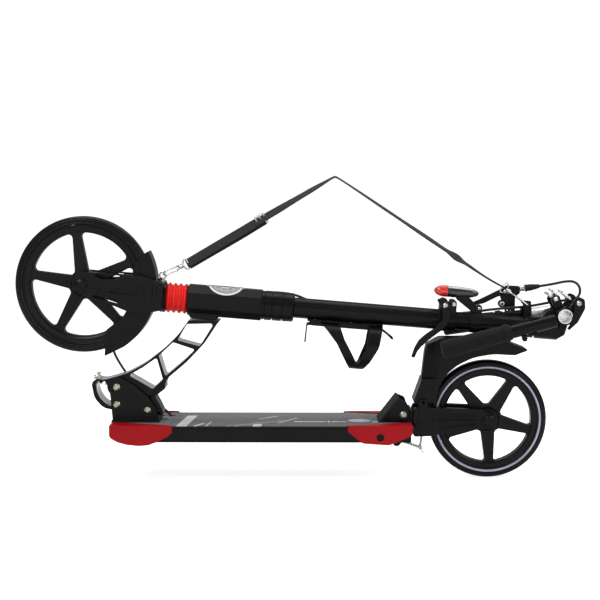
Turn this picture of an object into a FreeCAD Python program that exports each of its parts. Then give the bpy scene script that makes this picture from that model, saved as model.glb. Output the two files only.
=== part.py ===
import FreeCAD, Part
import math
import os
from FreeCAD import Placement, Rotation, Vector

# Folding kick scooter, shown folded flat for carrying.
#
# Millimetres. +X runs from the front wheel's end to the rear wheel, +Y to the rider's right, +Z up.
# Every piece is drawn from a plane through the deck and moved by centring at the end, so that the
# origin lies under the middle of the folded scooter, level with the bottom of the rear tyre.
# The stem's own frame has x along the stem, away from the front wheel, and z square to it, towards
# the front of the unfolded scooter. It is tipped by stem_tilt and lies stem_height above the floor.

# ---- driving dimensions ------------------------------------------------------------------------
running = 0.05           # radial clearance of a turning or sliding fit
seat = 0.2               # gap between pieces that are screwed or pressed together
clear = 0.5              # gap between covers that pass each other

front_wheel_diameter = 230.0
rear_wheel_diameter = 200.0
tyre_width = 29.0
tyre_depth = 14.0        # from the rim's seat to the tread
rim_depth = 12.5         # depth of the rim's barrel under the tyre
rim_width = 25.0
spoke_count = 5
spoke_width = 15.0
hub_radius = 19.0
hub_width = 29.0
bearing_radius = 11.0    # 608 bearing
bearing_width = 7.0
axle_radius = 4.0

deck_front = -312.0
deck_rear = 184.0
deck_width = 150.0
deck_top = 97.0
deck_thickness = 26.0
deck_wall = 3.0
tape_thickness = 0.8
bumper_wall = 3.6
front_bumper_length = 108.0
rear_bumper_length = 112.0

stem_tilt = 4.6          # the folded stem slopes down to the rear by this many degrees
stem_height = 287.3
pivot_x = -307.3         # fold pivot
pivot_z = 156.5
lock_pin_distance = 29.5
bolt_radius = 5.0
neck_width = 42.0
neck_wall = 3.6
plate_thickness = 6.0

head_start = -189.0
head_end = -65.0
head_across = 51.0
steerer_radius = 14.9
steerer_bore = 12.85
lower_tube_radius = 17.2
upper_tube_radius = 14.95
upper_tube_wall = 2.0
collar_start = -60.0
collar_end = -10.0
collar_radius = 25.0
clamp_start = 233.0
clamp_end = 263.0
clamp_radius = 19.0

front_axle_x = -367.0    # in the stem's frame
front_axle_offset = 11.0
fork_inner = 21.0
fork_outer = 34.0
bellows_radius = 24.0
bellows_ribs = 4

socket_x = 440.0         # handlebar socket, in the stem's frame
socket_offset = 25.0
socket_radius = 15.0
socket_bore = 12.0
tee_half_width = 42.0
bar_radius = 11.0
bar_length = 196.0
bar_spacing = 57.0       # each folded handlebar half lies this far from the middle plane
left_bar_droop = 14.8    # the folded halves slope down to the front by these angles
right_bar_droop = 8.0
left_bar_gap = 14.0      # along each half, from the socket's axis to its inner end
right_bar_gap = -4.0
grip_radius = 15.2
grip_length = 118.0
right_grip_length = 105.0     # shorter, to leave room for the brake's clamp

rear_axle_x = 317.0
rear_axle_z = 100.0
arm_pivot_x = 196.0
arm_pivot_z = 95.0
arm_inner = 19.0
arm_outer = 32.0
fender_pivot_x = 207.0
fender_pivot_z = 131.0
fender_half_width = 26.0
shoe_x = 208.0            # pivot of the brake shoe
shoe_z = 78.0
wire_x = 204.0            # clamp of the brake wire
wire_z = 50.0
stop_x = 165.0            # stop of the brake cable
stop_z = 60.0

bottle_radius = 36.5
cage_strip = 2.4
light_offset = 48.5      # rear lamp's axis, over the stem's axis
clip_x = 386.0           # strap and handlebar clip, in the stem's frame
brake_x = -83.0          # brake clamp, along the right handlebar half
wedge_half = 34.0        # half the width of the bracket at the deck's end
wedge_wall = 5.0
front_hook_end = Vector(-192, 0, 361)
strap_top = Vector(59, 0, 509)
rear_hook_end = Vector(345, 0, 322)
cable_entry = Vector(-221, 36.2, deck_top)
strap_width = 20.0
strap_thickness = 2.2
cable_radius = 2.2
centring = -2.15         # moves the folded scooter's middle over the origin

# ---- values that follow ------------------------------------------------------------------------
front_radius = front_wheel_diameter / 2
rear_radius = rear_wheel_diameter / 2
deck_bottom = deck_top - deck_thickness
deck_half = deck_width / 2
neck_half = neck_width / 2
plate_inner = neck_half + 1.5
plate_outer = plate_inner + plate_thickness
sleeve_end = clamp_start + 17.0          # the lower tube ends inside the height clamp
upper_bore = upper_tube_radius - upper_tube_wall
lever_x = pivot_x + 51.3                 # release lever's pivot
lever_z = pivot_z - 39.3
fold_axes = [(pivot_x, pivot_z), (pivot_x, pivot_z - lock_pin_distance), (lever_x, lever_z)]
bracket_rear = pivot_x + 71.0
bracket_foot = plate_outer + 9.0
wedge_front = deck_rear - 52
wedge_bolt_x = deck_rear - 11
wedge_bolt_z = deck_top + 14
cage_top = -lower_tube_radius - seat
bottle_axis = cage_top - cage_strip - bottle_radius
bar_inner = bar_radius - 1.8
wire_start = Vector(stop_x + 11, 0, stop_z - 1)
wire_end = Vector(wire_x - 4, 0, wire_z + 0.8)

# outlines of the corner guards: seen from above as (x, y), and from the side as (x, z)
front_end = deck_front - bumper_wall
rear_end = deck_rear + bumper_wall
guard_top = deck_top + 2.4
guard_side = deck_half + bumper_wall
front_tail = front_end + front_bumper_length
rear_tail = rear_end - rear_bumper_length
front_plan = [(front_end, -guard_side, 9), (front_end + 94, -guard_side, 20), (front_tail, -deck_half + 1),
              (front_end, -deck_half + 36, 6)]
rear_plan = [(rear_tail, -deck_half + 1), (rear_end - 96, -guard_side, 20), (rear_end, -guard_side, 9),
             (rear_end, -deck_half + 36, 6)]
front_outline = [(front_end, guard_top - 13, 6), (front_end, guard_top, 3), (front_tail, guard_top, 2),
                 (front_tail, guard_top - 8, 6), (front_end + 82, deck_bottom - 0.5, 14),
                 (front_end + 54, deck_bottom - 4, 24), (front_end + 14, deck_bottom + 6, 10)]
rear_outline = [(rear_tail, guard_top, 2), (rear_end, guard_top, 3), (rear_end, deck_bottom + 13, 10),
                (rear_end - 40, deck_bottom - 4, 20), (rear_end - 84, deck_bottom - 1, 14),
                (rear_tail, guard_top - 7, 6)]
axis_y = Vector(0, 1, 0)
stem_place = Placement(Vector(0, 0, stem_height), Rotation(axis_y, stem_tilt))


def along_stem(x, z, y=0.0):
    """A point of the stem's frame, in the scooter's frame."""
    return stem_place.multVec(Vector(x, y, z))


socket_centre = along_stem(socket_x, socket_offset)


def bar_place(side, droop, gap):
    """The frame of a folded handlebar half: its inner end at the origin, its grip towards -x."""
    slope = math.radians(droop)
    end = Vector(socket_centre.x - gap * math.cos(slope), side * bar_spacing,
                 socket_centre.z - gap * math.sin(slope))
    return Placement(end, Rotation(axis_y, -droop))


left_bar_place = bar_place(-1, left_bar_droop, left_bar_gap)
right_bar_place = bar_place(1, right_bar_droop, right_bar_gap)


# ---- building blocks ---------------------------------------------------------------------------
def placed(shape, place):
    moved = shape.copy()
    moved.Placement = place.multiply(moved.Placement)
    return moved


def box(x0, x1, y0, y1, z0, z1):
    return Part.makeBox(x1 - x0, y1 - y0, z1 - z0, Vector(x0, y0, z0))


def rod(start, end, radius):
    line = end - start
    return Part.makeCylinder(radius, line.Length, start, line)


def rod_x(x0, x1, radius, y=0.0, z=0.0):
    return rod(Vector(x0, y, z), Vector(x1, y, z), radius)


def rod_y(y0, y1, radius, x=0.0, z=0.0):
    return rod(Vector(x, y0, z), Vector(x, y1, z), radius)


def rod_z(z0, z1, radius, x=0.0, y=0.0):
    return rod(Vector(x, y, z0), Vector(x, y, z1), radius)


def rounded_face(corners):
    """A face in the XZ plane. A corner is (x, z) or (x, z, radius)."""
    points = [Vector(c[0], 0, c[1]) for c in corners]
    radii = [c[2] if len(c) > 2 else 0.0 for c in corners]
    ends = []
    for i, here in enumerate(points):
        before, after = points[i - 1], points[(i + 1) % len(points)]
        to_before, to_after = before - here, after - here
        if radii[i] <= 0:
            ends.append((here, None, here))
            continue
        half = to_before.getAngle(to_after) / 2
        reach = min(radii[i] / math.tan(half), 0.49 * to_before.Length, 0.49 * to_after.Length)
        radius = reach * math.tan(half)
        to_before.normalize()
        to_after.normalize()
        middle = to_before + to_after
        middle.normalize()
        depth = radius / math.sin(half) - radius
        ends.append((here + to_before * reach, here + middle * depth, here + to_after * reach))
    edges = []
    for i, (start, middle, end) in enumerate(ends):
        if middle is not None:
            edges.append(Part.Arc(start, middle, end).toShape())
        following = ends[(i + 1) % len(ends)][0]
        if (following - end).Length > 1e-6:
            edges.append(Part.LineSegment(end, following).toShape())
    return Part.Face(Part.Wire(edges))


def prism(corners, y0, y1):
    """The outline in the XZ plane, filled from y0 to y1."""
    face = rounded_face(corners)
    face.translate(Vector(0, y0, 0))
    return face.extrude(Vector(0, y1 - y0, 0))


def both_sides(corners, inner, outer):
    return [prism(corners, -outer, -inner), prism(corners, inner, outer)]


def turned(profile, axis_start, axis_direction):
    """The outline of (along, radius) points, turned about an axis in the XZ plane or along Y."""
    direction = Vector(axis_direction)
    direction.normalize()
    side = Vector(0, 0, 1) if abs(direction.z) < 0.5 else Vector(1, 0, 0)
    points = [axis_start + direction * a + side * r for a, r in profile]
    face = Part.Face(Part.makePolygon(points + [points[0]]))
    return face.revolve(axis_start, direction, 360)


def fused(*shapes):
    whole = shapes[0].multiFuse(list(shapes[1:])) if len(shapes) > 1 else shapes[0]
    return whole.removeSplitter()


def cut(shape, *tools):
    return shape.cut(list(tools))


def group(shapes):
    return Part.makeCompound(shapes)


def mirrored(shape):
    return shape.mirror(Vector(0, 0, 0), axis_y)


def button_bolt(y_head, y_end, x, z, shaft, head=5.8, height=3.6, socket=2.6):
    """A button-head bolt along Y with its head at y_head and its nut's face at y_end."""
    out = 1 if y_head > y_end else -1
    shank = rod_y(min(y_head, y_end), max(y_head, y_end), shaft, x, z)
    dome = [(0, 0), (0, head), (height * 0.45, head * 0.97), (height, head * 0.55), (height, 0)]
    top = turned(dome, Vector(x, y_head, z), Vector(0, out, 0))
    hexagon = rod_y(min(y_head + out * height * 0.4, y_head + out * (height + 1)),
                    max(y_head + out * height * 0.4, y_head + out * (height + 1)), socket, x, z)
    nut = turned([(0, 0), (0, head * 0.93), (height, head * 0.86), (height, 0)],
                 Vector(x, y_end, z), Vector(0, -out, 0))
    return fused(shank, top, nut).cut(hexagon)


def cord_tube(points, radius):
    """Straight runs joined by tangent arcs, and the tightest arc's radius."""
    ends, tightest = [], 1e9
    for i in range(1, len(points) - 1):
        here = points[i]
        back, ahead = points[i - 1] - here, points[i + 1] - here
        shorter = min(back.Length, ahead.Length)
        turn = math.pi - back.getAngle(ahead)
        reach = 0.45 * shorter
        arc = reach / math.tan(turn / 2)
        tightest = min(tightest, arc)
        back.normalize()
        ahead.normalize()
        middle = back + ahead
        middle.normalize()
        depth = arc / math.cos(turn / 2) - arc
        ends.append((here + back * reach, here + middle * depth, here + ahead * reach))
    edges, last = [], points[0]
    for start, middle, end in ends:
        edges.append(Part.LineSegment(last, start).toShape())
        edges.append(Part.Arc(start, middle, end).toShape())
        last = end
    edges.append(Part.LineSegment(last, points[-1]).toShape())
    path = Part.Wire(edges)
    first = points[1] - points[0]
    circle = Part.Wire(Part.makeCircle(radius, points[0], first))
    tube = path.makePipeShell([circle], True, False)
    expected = math.pi * radius ** 2 * path.Length
    print("cord: length %.0f, tightest arc %.1f, volume ratio %.3f"
          % (path.Length, tightest, tube.Volume / expected))
    return tube


# ---- wheels ------------------------------------------------------------------------------------
def wheel(radius, centre):
    """Tyre, rim and two bearings of a wheel that turns about Y."""
    seat_radius = radius - tyre_depth
    half = tyre_width / 2
    rim_half = rim_width / 2
    axis = Vector(0, 1, 0)
    shoulder = radius - tyre_depth * 0.6
    low, high = Vector(0, -half, shoulder), Vector(0, half, shoulder)
    base_low, base_high = Vector(0, -rim_half, seat_radius), Vector(0, rim_half, seat_radius)
    edges = [Part.LineSegment(base_low, low).toShape(),
             Part.Arc(low, Vector(0, 0, radius), high).toShape(),
             Part.LineSegment(high, base_high).toShape(),
             Part.LineSegment(base_high, base_low).toShape()]
    tyre = Part.Face(Part.Wire(edges)).revolve(Vector(0, 0, 0), axis, 360)

    barrel_outer = seat_radius - seat
    barrel_inner = barrel_outer - rim_depth
    barrel = turned([(-rim_half, barrel_outer), (rim_half, barrel_outer), (rim_half, barrel_inner + 3),
                     (rim_half - 3, barrel_inner), (3 - rim_half, barrel_inner),
                     (-rim_half, barrel_inner + 3)], Vector(0, 0, 0), axis)
    hub = rod_y(-hub_width / 2, hub_width / 2, hub_radius)
    spokes = []
    for i in range(spoke_count):
        spoke = prism([(hub_radius - 5, -spoke_width * 0.62), (barrel_inner + 3, -spoke_width * 0.42),
                       (barrel_inner + 3, spoke_width * 0.42), (hub_radius - 5, spoke_width * 0.62)], -9,
                       9)
        spokes.append(placed(spoke, Placement(Vector(), Rotation(axis, -(25 + i * 360 / spoke_count)))))
    rim = fused(barrel, hub, *spokes)
    bores = [rod_y(-hub_width / 2, bearing_width - hub_width / 2 + seat, bearing_radius + 0.02),
             rod_y(hub_width / 2 - bearing_width - seat, hub_width / 2, bearing_radius + 0.02),
             rod_y(-hub_width / 2, hub_width / 2, bearing_radius - 2.5)]
    rim = cut(rim, *bores)
    bearings = []
    for side in (-1, 1):
        far = side * hub_width / 2
        near = side * (hub_width / 2 - bearing_width)
        ring = rod_y(min(near, far), max(near, far), bearing_radius)
        bearings.append(ring.cut(rod_y(-hub_width, hub_width, axle_radius + running)))
    shapes = (tyre, rim, group(bearings))
    return [placed(shape, Placement(centre, Rotation())) for shape in shapes]


def axle(x, z, reach, cap_radius):
    """A through axle with a domed cap at each end and a spacer each side of the hub."""
    shaft = rod_y(-reach, reach, axle_radius, x, z)
    caps = [turned([(0, 0), (0, cap_radius), (2.5, cap_radius), (4.5, cap_radius * 0.6), (4.5, 0)],
                   Vector(x, side * reach, z), Vector(0, side, 0)) for side in (-1, 1)]
    return fused(shaft, *caps)


# ---- deck --------------------------------------------------------------------------------------
def make_deck():
    """Hollow aluminium extrusion with two ribs, round side edges and the brake cable's hole."""
    outer = [(-deck_half, deck_bottom, 7), (deck_half, deck_bottom, 7), (deck_half, deck_top, 3),
             (-deck_half, deck_top, 3)]
    profile = prism(outer, 0, deck_rear - deck_front)
    low, high = deck_bottom + deck_wall, deck_top - deck_wall
    rib = deck_width / 6
    edges = [-deck_half + deck_wall, -rib - 1.5, -rib + 1.5, rib - 1.5, rib + 1.5, deck_half - deck_wall]
    rooms = [prism([(a, low, 2), (b, low, 2), (b, high, 2), (a, high, 2)], 0, deck_rear - deck_front)
             for a, b in zip(edges[0::2], edges[1::2])]
    deck = cut(profile, *rooms)
    deck = placed(deck, Placement(Vector(deck_front, 0, 0), Rotation(Vector(0, 0, 1), -90)))
    hole = rod_z(deck_top - 8, deck_top + 2, cable_radius + 2.6, cable_entry.x, cable_entry.y)
    return deck.cut(hole)


def plan_prism(plan, z0, z1):
    """The outline in the XY plane, filled from z0 to z1."""
    face = rounded_face(plan)
    solid = face.extrude(Vector(0, z0 - z1, 0))
    return placed(solid, Placement(Vector(0, 0, z0), Rotation(Vector(1, 0, 0), -90)))


def make_bumper(plan, outline):
    """Red corner guard that slips over the deck's corner."""
    block = plan_prism(plan, deck_bottom - 20, deck_top + 20).common(prism(outline, -guard_side, 0))
    core = box(deck_front - seat, deck_rear + seat, -deck_half - seat, deck_half, deck_bottom - seat,
               deck_top + seat)
    return block.cut(core)


def make_tape():
    sheet = plan_prism([(deck_front + 4, -deck_half + 5, 6), (deck_rear - 2, -deck_half + 5, 6),
                        (deck_rear - 2, deck_half - 5, 6), (deck_front + 4, deck_half - 5, 6)],
                       deck_top, deck_top + tape_thickness)
    low, high = deck_top - 1, deck_top + 9
    foot_room, wedge_room = bracket_foot + 0.6, wedge_half + 0.6
    tools = [box(deck_front - 9, bracket_rear + 0.6, -foot_room, foot_room, low, high),
             box(wedge_front - 0.6, deck_rear + 9, -wedge_room, wedge_room, low, high),
             rod_z(deck_top - 1, deck_top + 3, cable_radius + 3.6, cable_entry.x, cable_entry.y)]
    for plan in (front_plan, rear_plan):
        guard = plan_prism(plan, deck_top - 1, deck_top + 4)
        wide = [placed(guard, Placement(Vector(dx, dy, 0), Rotation()))
                for dx, dy in ((-1.2, 0.9), (1.2, 0.9), (0, 0))]
        tools += wide + [mirrored(one) for one in wide]
    return cut(sheet, *tools)


# ---- folding joint -----------------------------------------------------------------------------
def make_bracket():
    """Two cheeks on a foot that is bolted to the deck; the neck folds between them."""
    cheek = [(pivot_x - 7.5, deck_top + 0.5), (pivot_x - 11, pivot_z - 18, 20),
             (pivot_x - 13, pivot_z + 2, 6),
             (pivot_x - 8.5, pivot_z + 13, 4), (pivot_x + 3.5, pivot_z + 17.5, 6),
             (pivot_x + 29, pivot_z + 3, 30),
             (pivot_x + 53, pivot_z - 18, 30), (pivot_x + 66, pivot_z - 38, 16),
             (pivot_x + 70, deck_top + 6, 5),
             (pivot_x + 70, deck_top + 0.5)]
    cheeks = both_sides(cheek, plate_inner, plate_outer)
    foot = box(pivot_x - 8, bracket_rear, -bracket_foot, bracket_foot, deck_top, deck_top + 4)
    bracket = fused(foot, *cheeks)
    bores = [rod_y(-50, 50, bolt_radius, x, z) for x, z in fold_axes]
    return cut(bracket, *bores)


def fold_bolts():
    shaft = bolt_radius - running
    bolts = [button_bolt(-plate_outer - seat, plate_outer + seat, x, z, shaft) for x, z in fold_axes]
    screws = [button_bolt(-wedge_half - seat, -wedge_half + wedge_wall + seat, wedge_bolt_x, wedge_bolt_z,
                          3.0),
              button_bolt(wedge_half + seat, wedge_half - wedge_wall - seat, wedge_bolt_x, wedge_bolt_z,
                          3.0)]
    return group(bolts + screws)


def make_release_lever():
    """Foot lever behind the folding joint that draws the lock."""
    arm = prism([(lever_x - 7, lever_z - 2, 4), (lever_x - 2, lever_z + 9, 5),
                 (lever_x + 5, pivot_z - 17, 3),
                 (lever_x + 12, pivot_z - 17.5, 3), (lever_x + 19, lever_z + 9, 6),
                 (lever_x + 26, lever_z - 6, 6),
                 (lever_x + 22, lever_z - 12, 3), (lever_x + 19, lever_z - 3, 5),
                 (lever_x + 9, lever_z - 7, 5)],
                1 - neck_half, neck_half - 1)
    eye = rod_y(1 - neck_half, neck_half - 1, 8.5, lever_x, lever_z)
    return fused(arm, eye).cut(rod_y(-40, 40, bolt_radius, lever_x, lever_z))


def polar(radius, degrees):
    angle = math.radians(degrees)
    return Vector(pivot_x + radius * math.cos(angle), 0, pivot_z + radius * math.sin(angle))


def slot_sector(inner, outer, first, last):
    """A slot's outline about the fold pivot, in the XZ plane."""
    middle = (first + last) / 2
    edges = [Part.Arc(polar(outer, first), polar(outer, middle), polar(outer, last)).toShape(),
             Part.LineSegment(polar(outer, last), polar(inner, last)).toShape(),
             Part.Arc(polar(inner, last), polar(inner, middle), polar(inner, first)).toShape(),
             Part.LineSegment(polar(inner, first), polar(outer, first)).toShape()]
    face = Part.Face(Part.Wire(edges))
    face.translate(Vector(0, -60, 0))
    return face.extrude(Vector(0, 120, 0))


def make_neck():
    """Ladder-shaped extrusion: curved flanges, cross walls, the fold pivot's eye and the lock's hook."""
    w = neck_wall
    hook = 41.0
    outline = [(-134, 268), (-139, 262, 30), (-160, 230, 60), (-190, 198, 120), (-228, 165.5, 60),
               (-238, 156, 3), (-246, 143, 4), (-262, 139, 8), (-283, 131, 8),
               (pivot_x + 16, pivot_z - hook + 3, 7), (pivot_x, pivot_z - hook, 12),
               (pivot_x - 24, pivot_z - hook + 4, 20), (pivot_x - 39, pivot_z - 20, 20),
               (pivot_x - hook - 3, pivot_z + 6, 10), (pivot_x - 35, pivot_z + 13, 6),
               (pivot_x - 22, pivot_z + 11, 20), (-292, 178, 60), (-262, 194, 100), (-228, 220, 120),
               (-205, 243, 90),
               (-187, 268)]
    windows = [[(-287, 176, 3), (-263, 188.5, 60), (-243, 203, 3), (-232, 165, 3), (-247, 152, 3)],
               [(-236.5, 208, 3), (-213, 229.5, 3), (-175, 216.5, 3), (-194, 199, 60), (-224, 172, 3)],
               [(-205, 236, 3), (-189, 262, 4), (-147, 263, 4), (-169.5, 226, 3)]]
    neck = prism(outline, -neck_half, neck_half)
    tools = [prism(window, -60, 60) for window in windows]
    tools.append(slot_sector(17.5, 35.2, 172, 285))
    for tooth in (polar(33, 166), polar(24, 160)):
        notch = [(tooth.x - 5, tooth.z - 5), (tooth.x, tooth.z + 1.5, 1), (tooth.x + 5, tooth.z - 5)]
        tools.append(prism(notch, -60, 60))
    tools.append(rod_y(-60, 60, bolt_radius, pivot_x, pivot_z))
    tools += [head_envelope(seat), placed(head_boss(seat), stem_place)]
    neck = cut(neck, *tools)
    return max(neck.Solids, key=lambda solid: solid.Volume)


def facet_section(across, chamfer):
    """An eight-sided section in the YZ plane of the stem's frame, as corners (y, z)."""
    half = across / 2
    flat = half - chamfer
    return [(-half, -flat), (-flat, -half), (flat, -half), (half, -flat),
            (half, flat), (flat, half), (-flat, half), (-half, flat)]


def faceted_bar(x0, x1, across, chamfer, rounding=0.0):
    corners = [(y, z, rounding) for y, z in facet_section(across, chamfer)]
    bar = prism(corners, 0, x1 - x0)
    return placed(bar, Placement(Vector(x0, 0, 0), Rotation(Vector(0, 0, 1), -90)))


def head_envelope(margin):
    """The room that the head tube takes, in the scooter's frame."""
    return placed(faceted_bar(head_start - 8, head_end + 8, head_across + 2 * margin, 13), stem_place)


def head_boss(margin):
    """The boss under the head tube, in the stem's frame."""
    low = -31 - margin
    return prism([(head_start - 2 - margin, -20, 4), (head_start + 8 - margin, low, 4),
                  (-142 + margin, low, 4),
                  (-128 + margin, -20)], -17 - margin, 17 + margin)


def make_head_tube():
    """Eight-sided head tube with a boss underneath, where the neck is welded on."""
    shell = faceted_bar(head_start, head_end, head_across, 13, 2)
    tube = fused(shell, head_boss(0))
    bores = [rod_x(head_start - 5, head_end + 5, steerer_radius + 1.6),
             rod_x(head_start - 1, head_start + 9, 18.0), rod_x(head_end - 9, head_end + 1, 18.0)]
    tube = placed(cut(tube, *bores), stem_place)
    return tube


def make_badge():
    """Plain round plate that wraps over the head tube's upper faces."""
    tube = faceted_bar(-175, -85, head_across + 2 * seat, 13, 2)
    skin = faceted_bar(-170, -90, head_across + 1.6, 13, 2).cut(tube)
    disc = rod_z(0, 60, 22.0, -128)
    return placed(skin.common(disc), stem_place)


def make_headset():
    """The two bearing rings between the head tube and the steerer."""
    rings = []
    for start in (head_start + 0.5, head_end - 8.5):
        ring = rod_x(start, start + 8, 18.0 - seat).cut(rod_x(start - 1, start + 9,
                                                              steerer_radius + running))
        rings.append(placed(ring, stem_place))
    cover = rod_x(head_end + 0.3, head_end + 3.8, 24.5).cut(rod_x(head_end, head_end + 5,
                                                                  steerer_radius + running))
    rings.append(placed(cover, stem_place))
    return group(rings)


# ---- stem --------------------------------------------------------------------------------------
def hollow(x0, x1, outer, inner):
    return rod_x(x0, x1, outer).cut(rod_x(x0 - 1, x1 + 1, inner))


def make_collar():
    """Split collar that clamps the lower tube onto the steerer."""
    profile = [(collar_start, lower_tube_radius + seat), (collar_start, collar_radius - 1),
               (collar_start + 1.5, collar_radius), (collar_end - 2, collar_radius - 1),
               (collar_end, collar_radius - 3), (collar_end, lower_tube_radius + seat)]
    body = turned(profile, Vector(), Vector(1, 0, 0))
    slits = [box(x, x + 1.6, -30, 30, -30, -6) for x in (-47.5, -30.5)]
    ears = box(collar_start + 4, collar_end - 4, 16, 32, -12, 12)
    split = box(collar_start - 1, collar_end + 1, 10, 40, -0.8, 0.8)
    body = fused(body, ears).cut(rod_x(collar_start - 1, collar_end + 1, lower_tube_radius + seat))
    bolts = [rod_z(-20, 20, 2.7, x, 27) for x in (-53, -39, -22)]
    return placed(cut(body, split, *slits, *bolts), stem_place)


def stem_screws():
    """Collar bolts, the height clamp's bolts and the bottle cage's screws."""
    screws = []
    for x in (-53, -39, -22):
        pin = rod_z(-12 - seat, 12 + seat, 2.5, x, 27)
        head = rod_z(12 + seat, 16, 4.2, x, 27).cut(rod_z(13.5, 17, 2, x, 27))
        nut = rod_z(-15, -12 - seat, 4, x, 27)
        screws.append(placed(fused(pin, head, nut), stem_place))
    fixed = button_bolt(-14 - seat, 14 + seat, clamp_end - 6, 28.0, 2.4, 4.4, 3.0, 2.0)
    screws.append(placed(fixed, stem_place))
    for x in (26, 88):
        head = rod_z(cage_top - cage_strip - 2.4, cage_top - cage_strip - seat, 4.5, x)
        pin = rod_z(cage_top - cage_strip - 1, -upper_tube_radius - running - seat, 2.4, x)
        screws.append(placed(fused(head, pin), stem_place))
    return group(screws)


def make_lower_tube():
    tube = hollow(collar_start + 2, sleeve_end, lower_tube_radius, upper_tube_radius + running)
    tools = [rod_z(-40, 0, 2.5, x) for x in (26, 88)]
    tools.append(rod_x(collar_start, collar_end - 10, steerer_radius + running))
    return placed(cut(tube, *tools), stem_place)


def make_height_clamp():
    """Double clamp: one ring grips the lower tube, the other the sliding upper tube."""
    ring = rod_x(clamp_start, clamp_end, clamp_radius)
    ears = prism([(clamp_start + 1, 8), (clamp_start + 1, 36, 5), (clamp_start + 12, 36, 4),
                  (clamp_start + 14, 31, 2),
                  (clamp_start + 17, 31, 2), (clamp_start + 19, 36, 4), (clamp_end - 1, 36, 5),
                  (clamp_end - 1, 8)], -14, 14)
    body = fused(ring, ears)
    tools = [rod_x(clamp_start - 1, sleeve_end + 0.3, lower_tube_radius + seat),
             rod_x(sleeve_end, clamp_end + 1, upper_tube_radius + running),
             box(clamp_start - 1, clamp_end + 1, -2, 2, 10, 50),
             box(clamp_start + 15, clamp_start + 16.6, -30, 30, -4, 50),
             rod_y(-30, 30, 2.6, clamp_start + 7.5, 27), rod_y(-30, 30, 2.6, clamp_end - 6, 28)]
    return placed(cut(body, *tools), stem_place)


def make_clamp_lever():
    """Quick-release lever with its cam and tie bolt."""
    x, z = clamp_start + 7.5, 27.0
    far, near = -38.0, -31.0
    bolt = rod_y(far, 15, 2.5, x, z)
    nut = rod_y(14 + seat, 18, 5.0, x, z)
    cam = rod_y(far, -14 - seat, 7.5, x, z)
    arm = prism([(x - 15, z + 9, 4), (x - 9, z + 11, 4), (x + 7, z + 5, 6), (x + 11, z - 20, 14),
                 (x - 1, z - 44, 16),
                 (x - 42, z - 93, 3), (x - 47, z - 91, 3), (x - 24, z - 56, 14), (x - 8, z - 36, 14),
                 (x - 3, z - 18, 10), (x - 8, z - 2, 6)], far, near)
    return placed(fused(bolt, nut, cam, arm), stem_place)


def make_bottle_cage():
    """Back plate with two slanting bands round the bottle, a foot and a spring finger."""
    sleeve = hollow(8, 150, bottle_radius + cage_strip, bottle_radius)
    sleeve = placed(sleeve, Placement(Vector(0, 0, bottle_axis), Rotation()))
    bottom = bottle_axis - bottle_radius - 4
    front_band = [(33, cage_top + 1), (66, cage_top + 1), (81, -52, 20), (101, -84, 6), (112, bottom),
                  (92, bottom),
                  (66, -51, 20), (50, -33, 14)]
    rear_band = [(119, cage_top + 1), (142, cage_top + 1), (137, -52, 20), (124, -79, 10), (112, bottom),
                 (96, bottom),
                 (106, -82, 8), (116, -55, 20)]
    bands = [sleeve.common(prism(outline, -60, 60)) for outline in (front_band, rear_band)]
    plate = box(14, 132, -11, 11, cage_top - cage_strip, cage_top)
    foot = box(10, 14.5, -14, 14, cage_top - 36, cage_top)
    toe = box(10, 22, -14, 14, cage_top - 38, cage_top - 35.5)
    finger = prism([(128, cage_top, 1), (146, cage_top - 1, 6), (158, cage_top - 14, 4),
                    (155, cage_top - 19, 3), (148, cage_top - 16, 3), (150, cage_top - 10, 3),
                    (142, cage_top - 4, 4), (128, cage_top - cage_strip, 1)], -7, 7)
    cage = fused(plate, foot, toe, finger, *bands)
    holes = [rod_z(-60, 0, 2.5, x) for x in (26, 88)]
    return placed(cut(cage, *holes), stem_place)


# ---- fork --------------------------------------------------------------------------------------
def make_fork():
    """Two windowed legs, their crown and the rod that slides in the steerer."""
    ax, az = front_axle_x, front_axle_offset
    leg = [(-230, 26, 6), (-270, 35, 40), (ax - 6, az + 23, 12), (ax - 17, az + 6, 14),
           (ax - 8, az - 12, 12),
           (-348, -9, 8), (-309, -19, 10), (-288, -26, 10), (-252, -26, 6), (-230, -20, 6)]
    windows = [[(-346, 28, 1.5), (-343, 32, 1.5), (-304, 32.5, 1.5), (-303, 27, 1.5), (-330, 24, 3)],
               [(-345, -3, 1.5), (-346, -7, 2), (-306, -15, 2), (-302, -10, 2)],
               [(-326, 4, 2), (-270, 19, 3), (-266, 3, 3), (-300, 1, 8)]]
    legs = both_sides(leg, fork_inner, fork_outer)
    crown = prism([(-248, 26), (-230, 26), (-230, -20), (-248, -20)], -fork_outer, fork_outer)
    collar = rod_x(-236, -226.5, bellows_radius + 1.5)
    slider = rod_x(-240, head_end - 5, steerer_bore - running)
    fork = fused(crown, collar, slider, *legs)
    room = rod_y(-fork_inner - 0.2, fork_inner + 0.2, front_radius + 12, ax, az)
    tools = [prism(window, -60, 60) for window in windows]
    tools += [room, rod_y(-60, 60, axle_radius, ax, az)]
    recess = prism([(-262, 23, 3), (-234, 21, 3), (-234, -6, 3), (-262, -4, 3)], -60, -fork_outer + 1)
    tools += [recess, mirrored(recess)]
    return placed(cut(fork, *tools), stem_place)


def fork_bolts():
    bolts = []
    for side in (-1, 1):
        for x, z in ((-243, 14), (-243, 2), (-339, 8)):
            face = fork_outer - 1 if x > -300 else fork_outer
            bolt = turned([(seat, 0), (seat, 4.2), (2.2, 4.0), (3.2, 2.4), (3.2, 0)],
                          Vector(x, side * face, z), Vector(0, side, 0))
            bolts.append(placed(bolt, stem_place))
    return bolts


def make_front_axle():
    return placed(axle(front_axle_x, front_axle_offset, fork_outer + seat, 10.5), stem_place)


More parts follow.
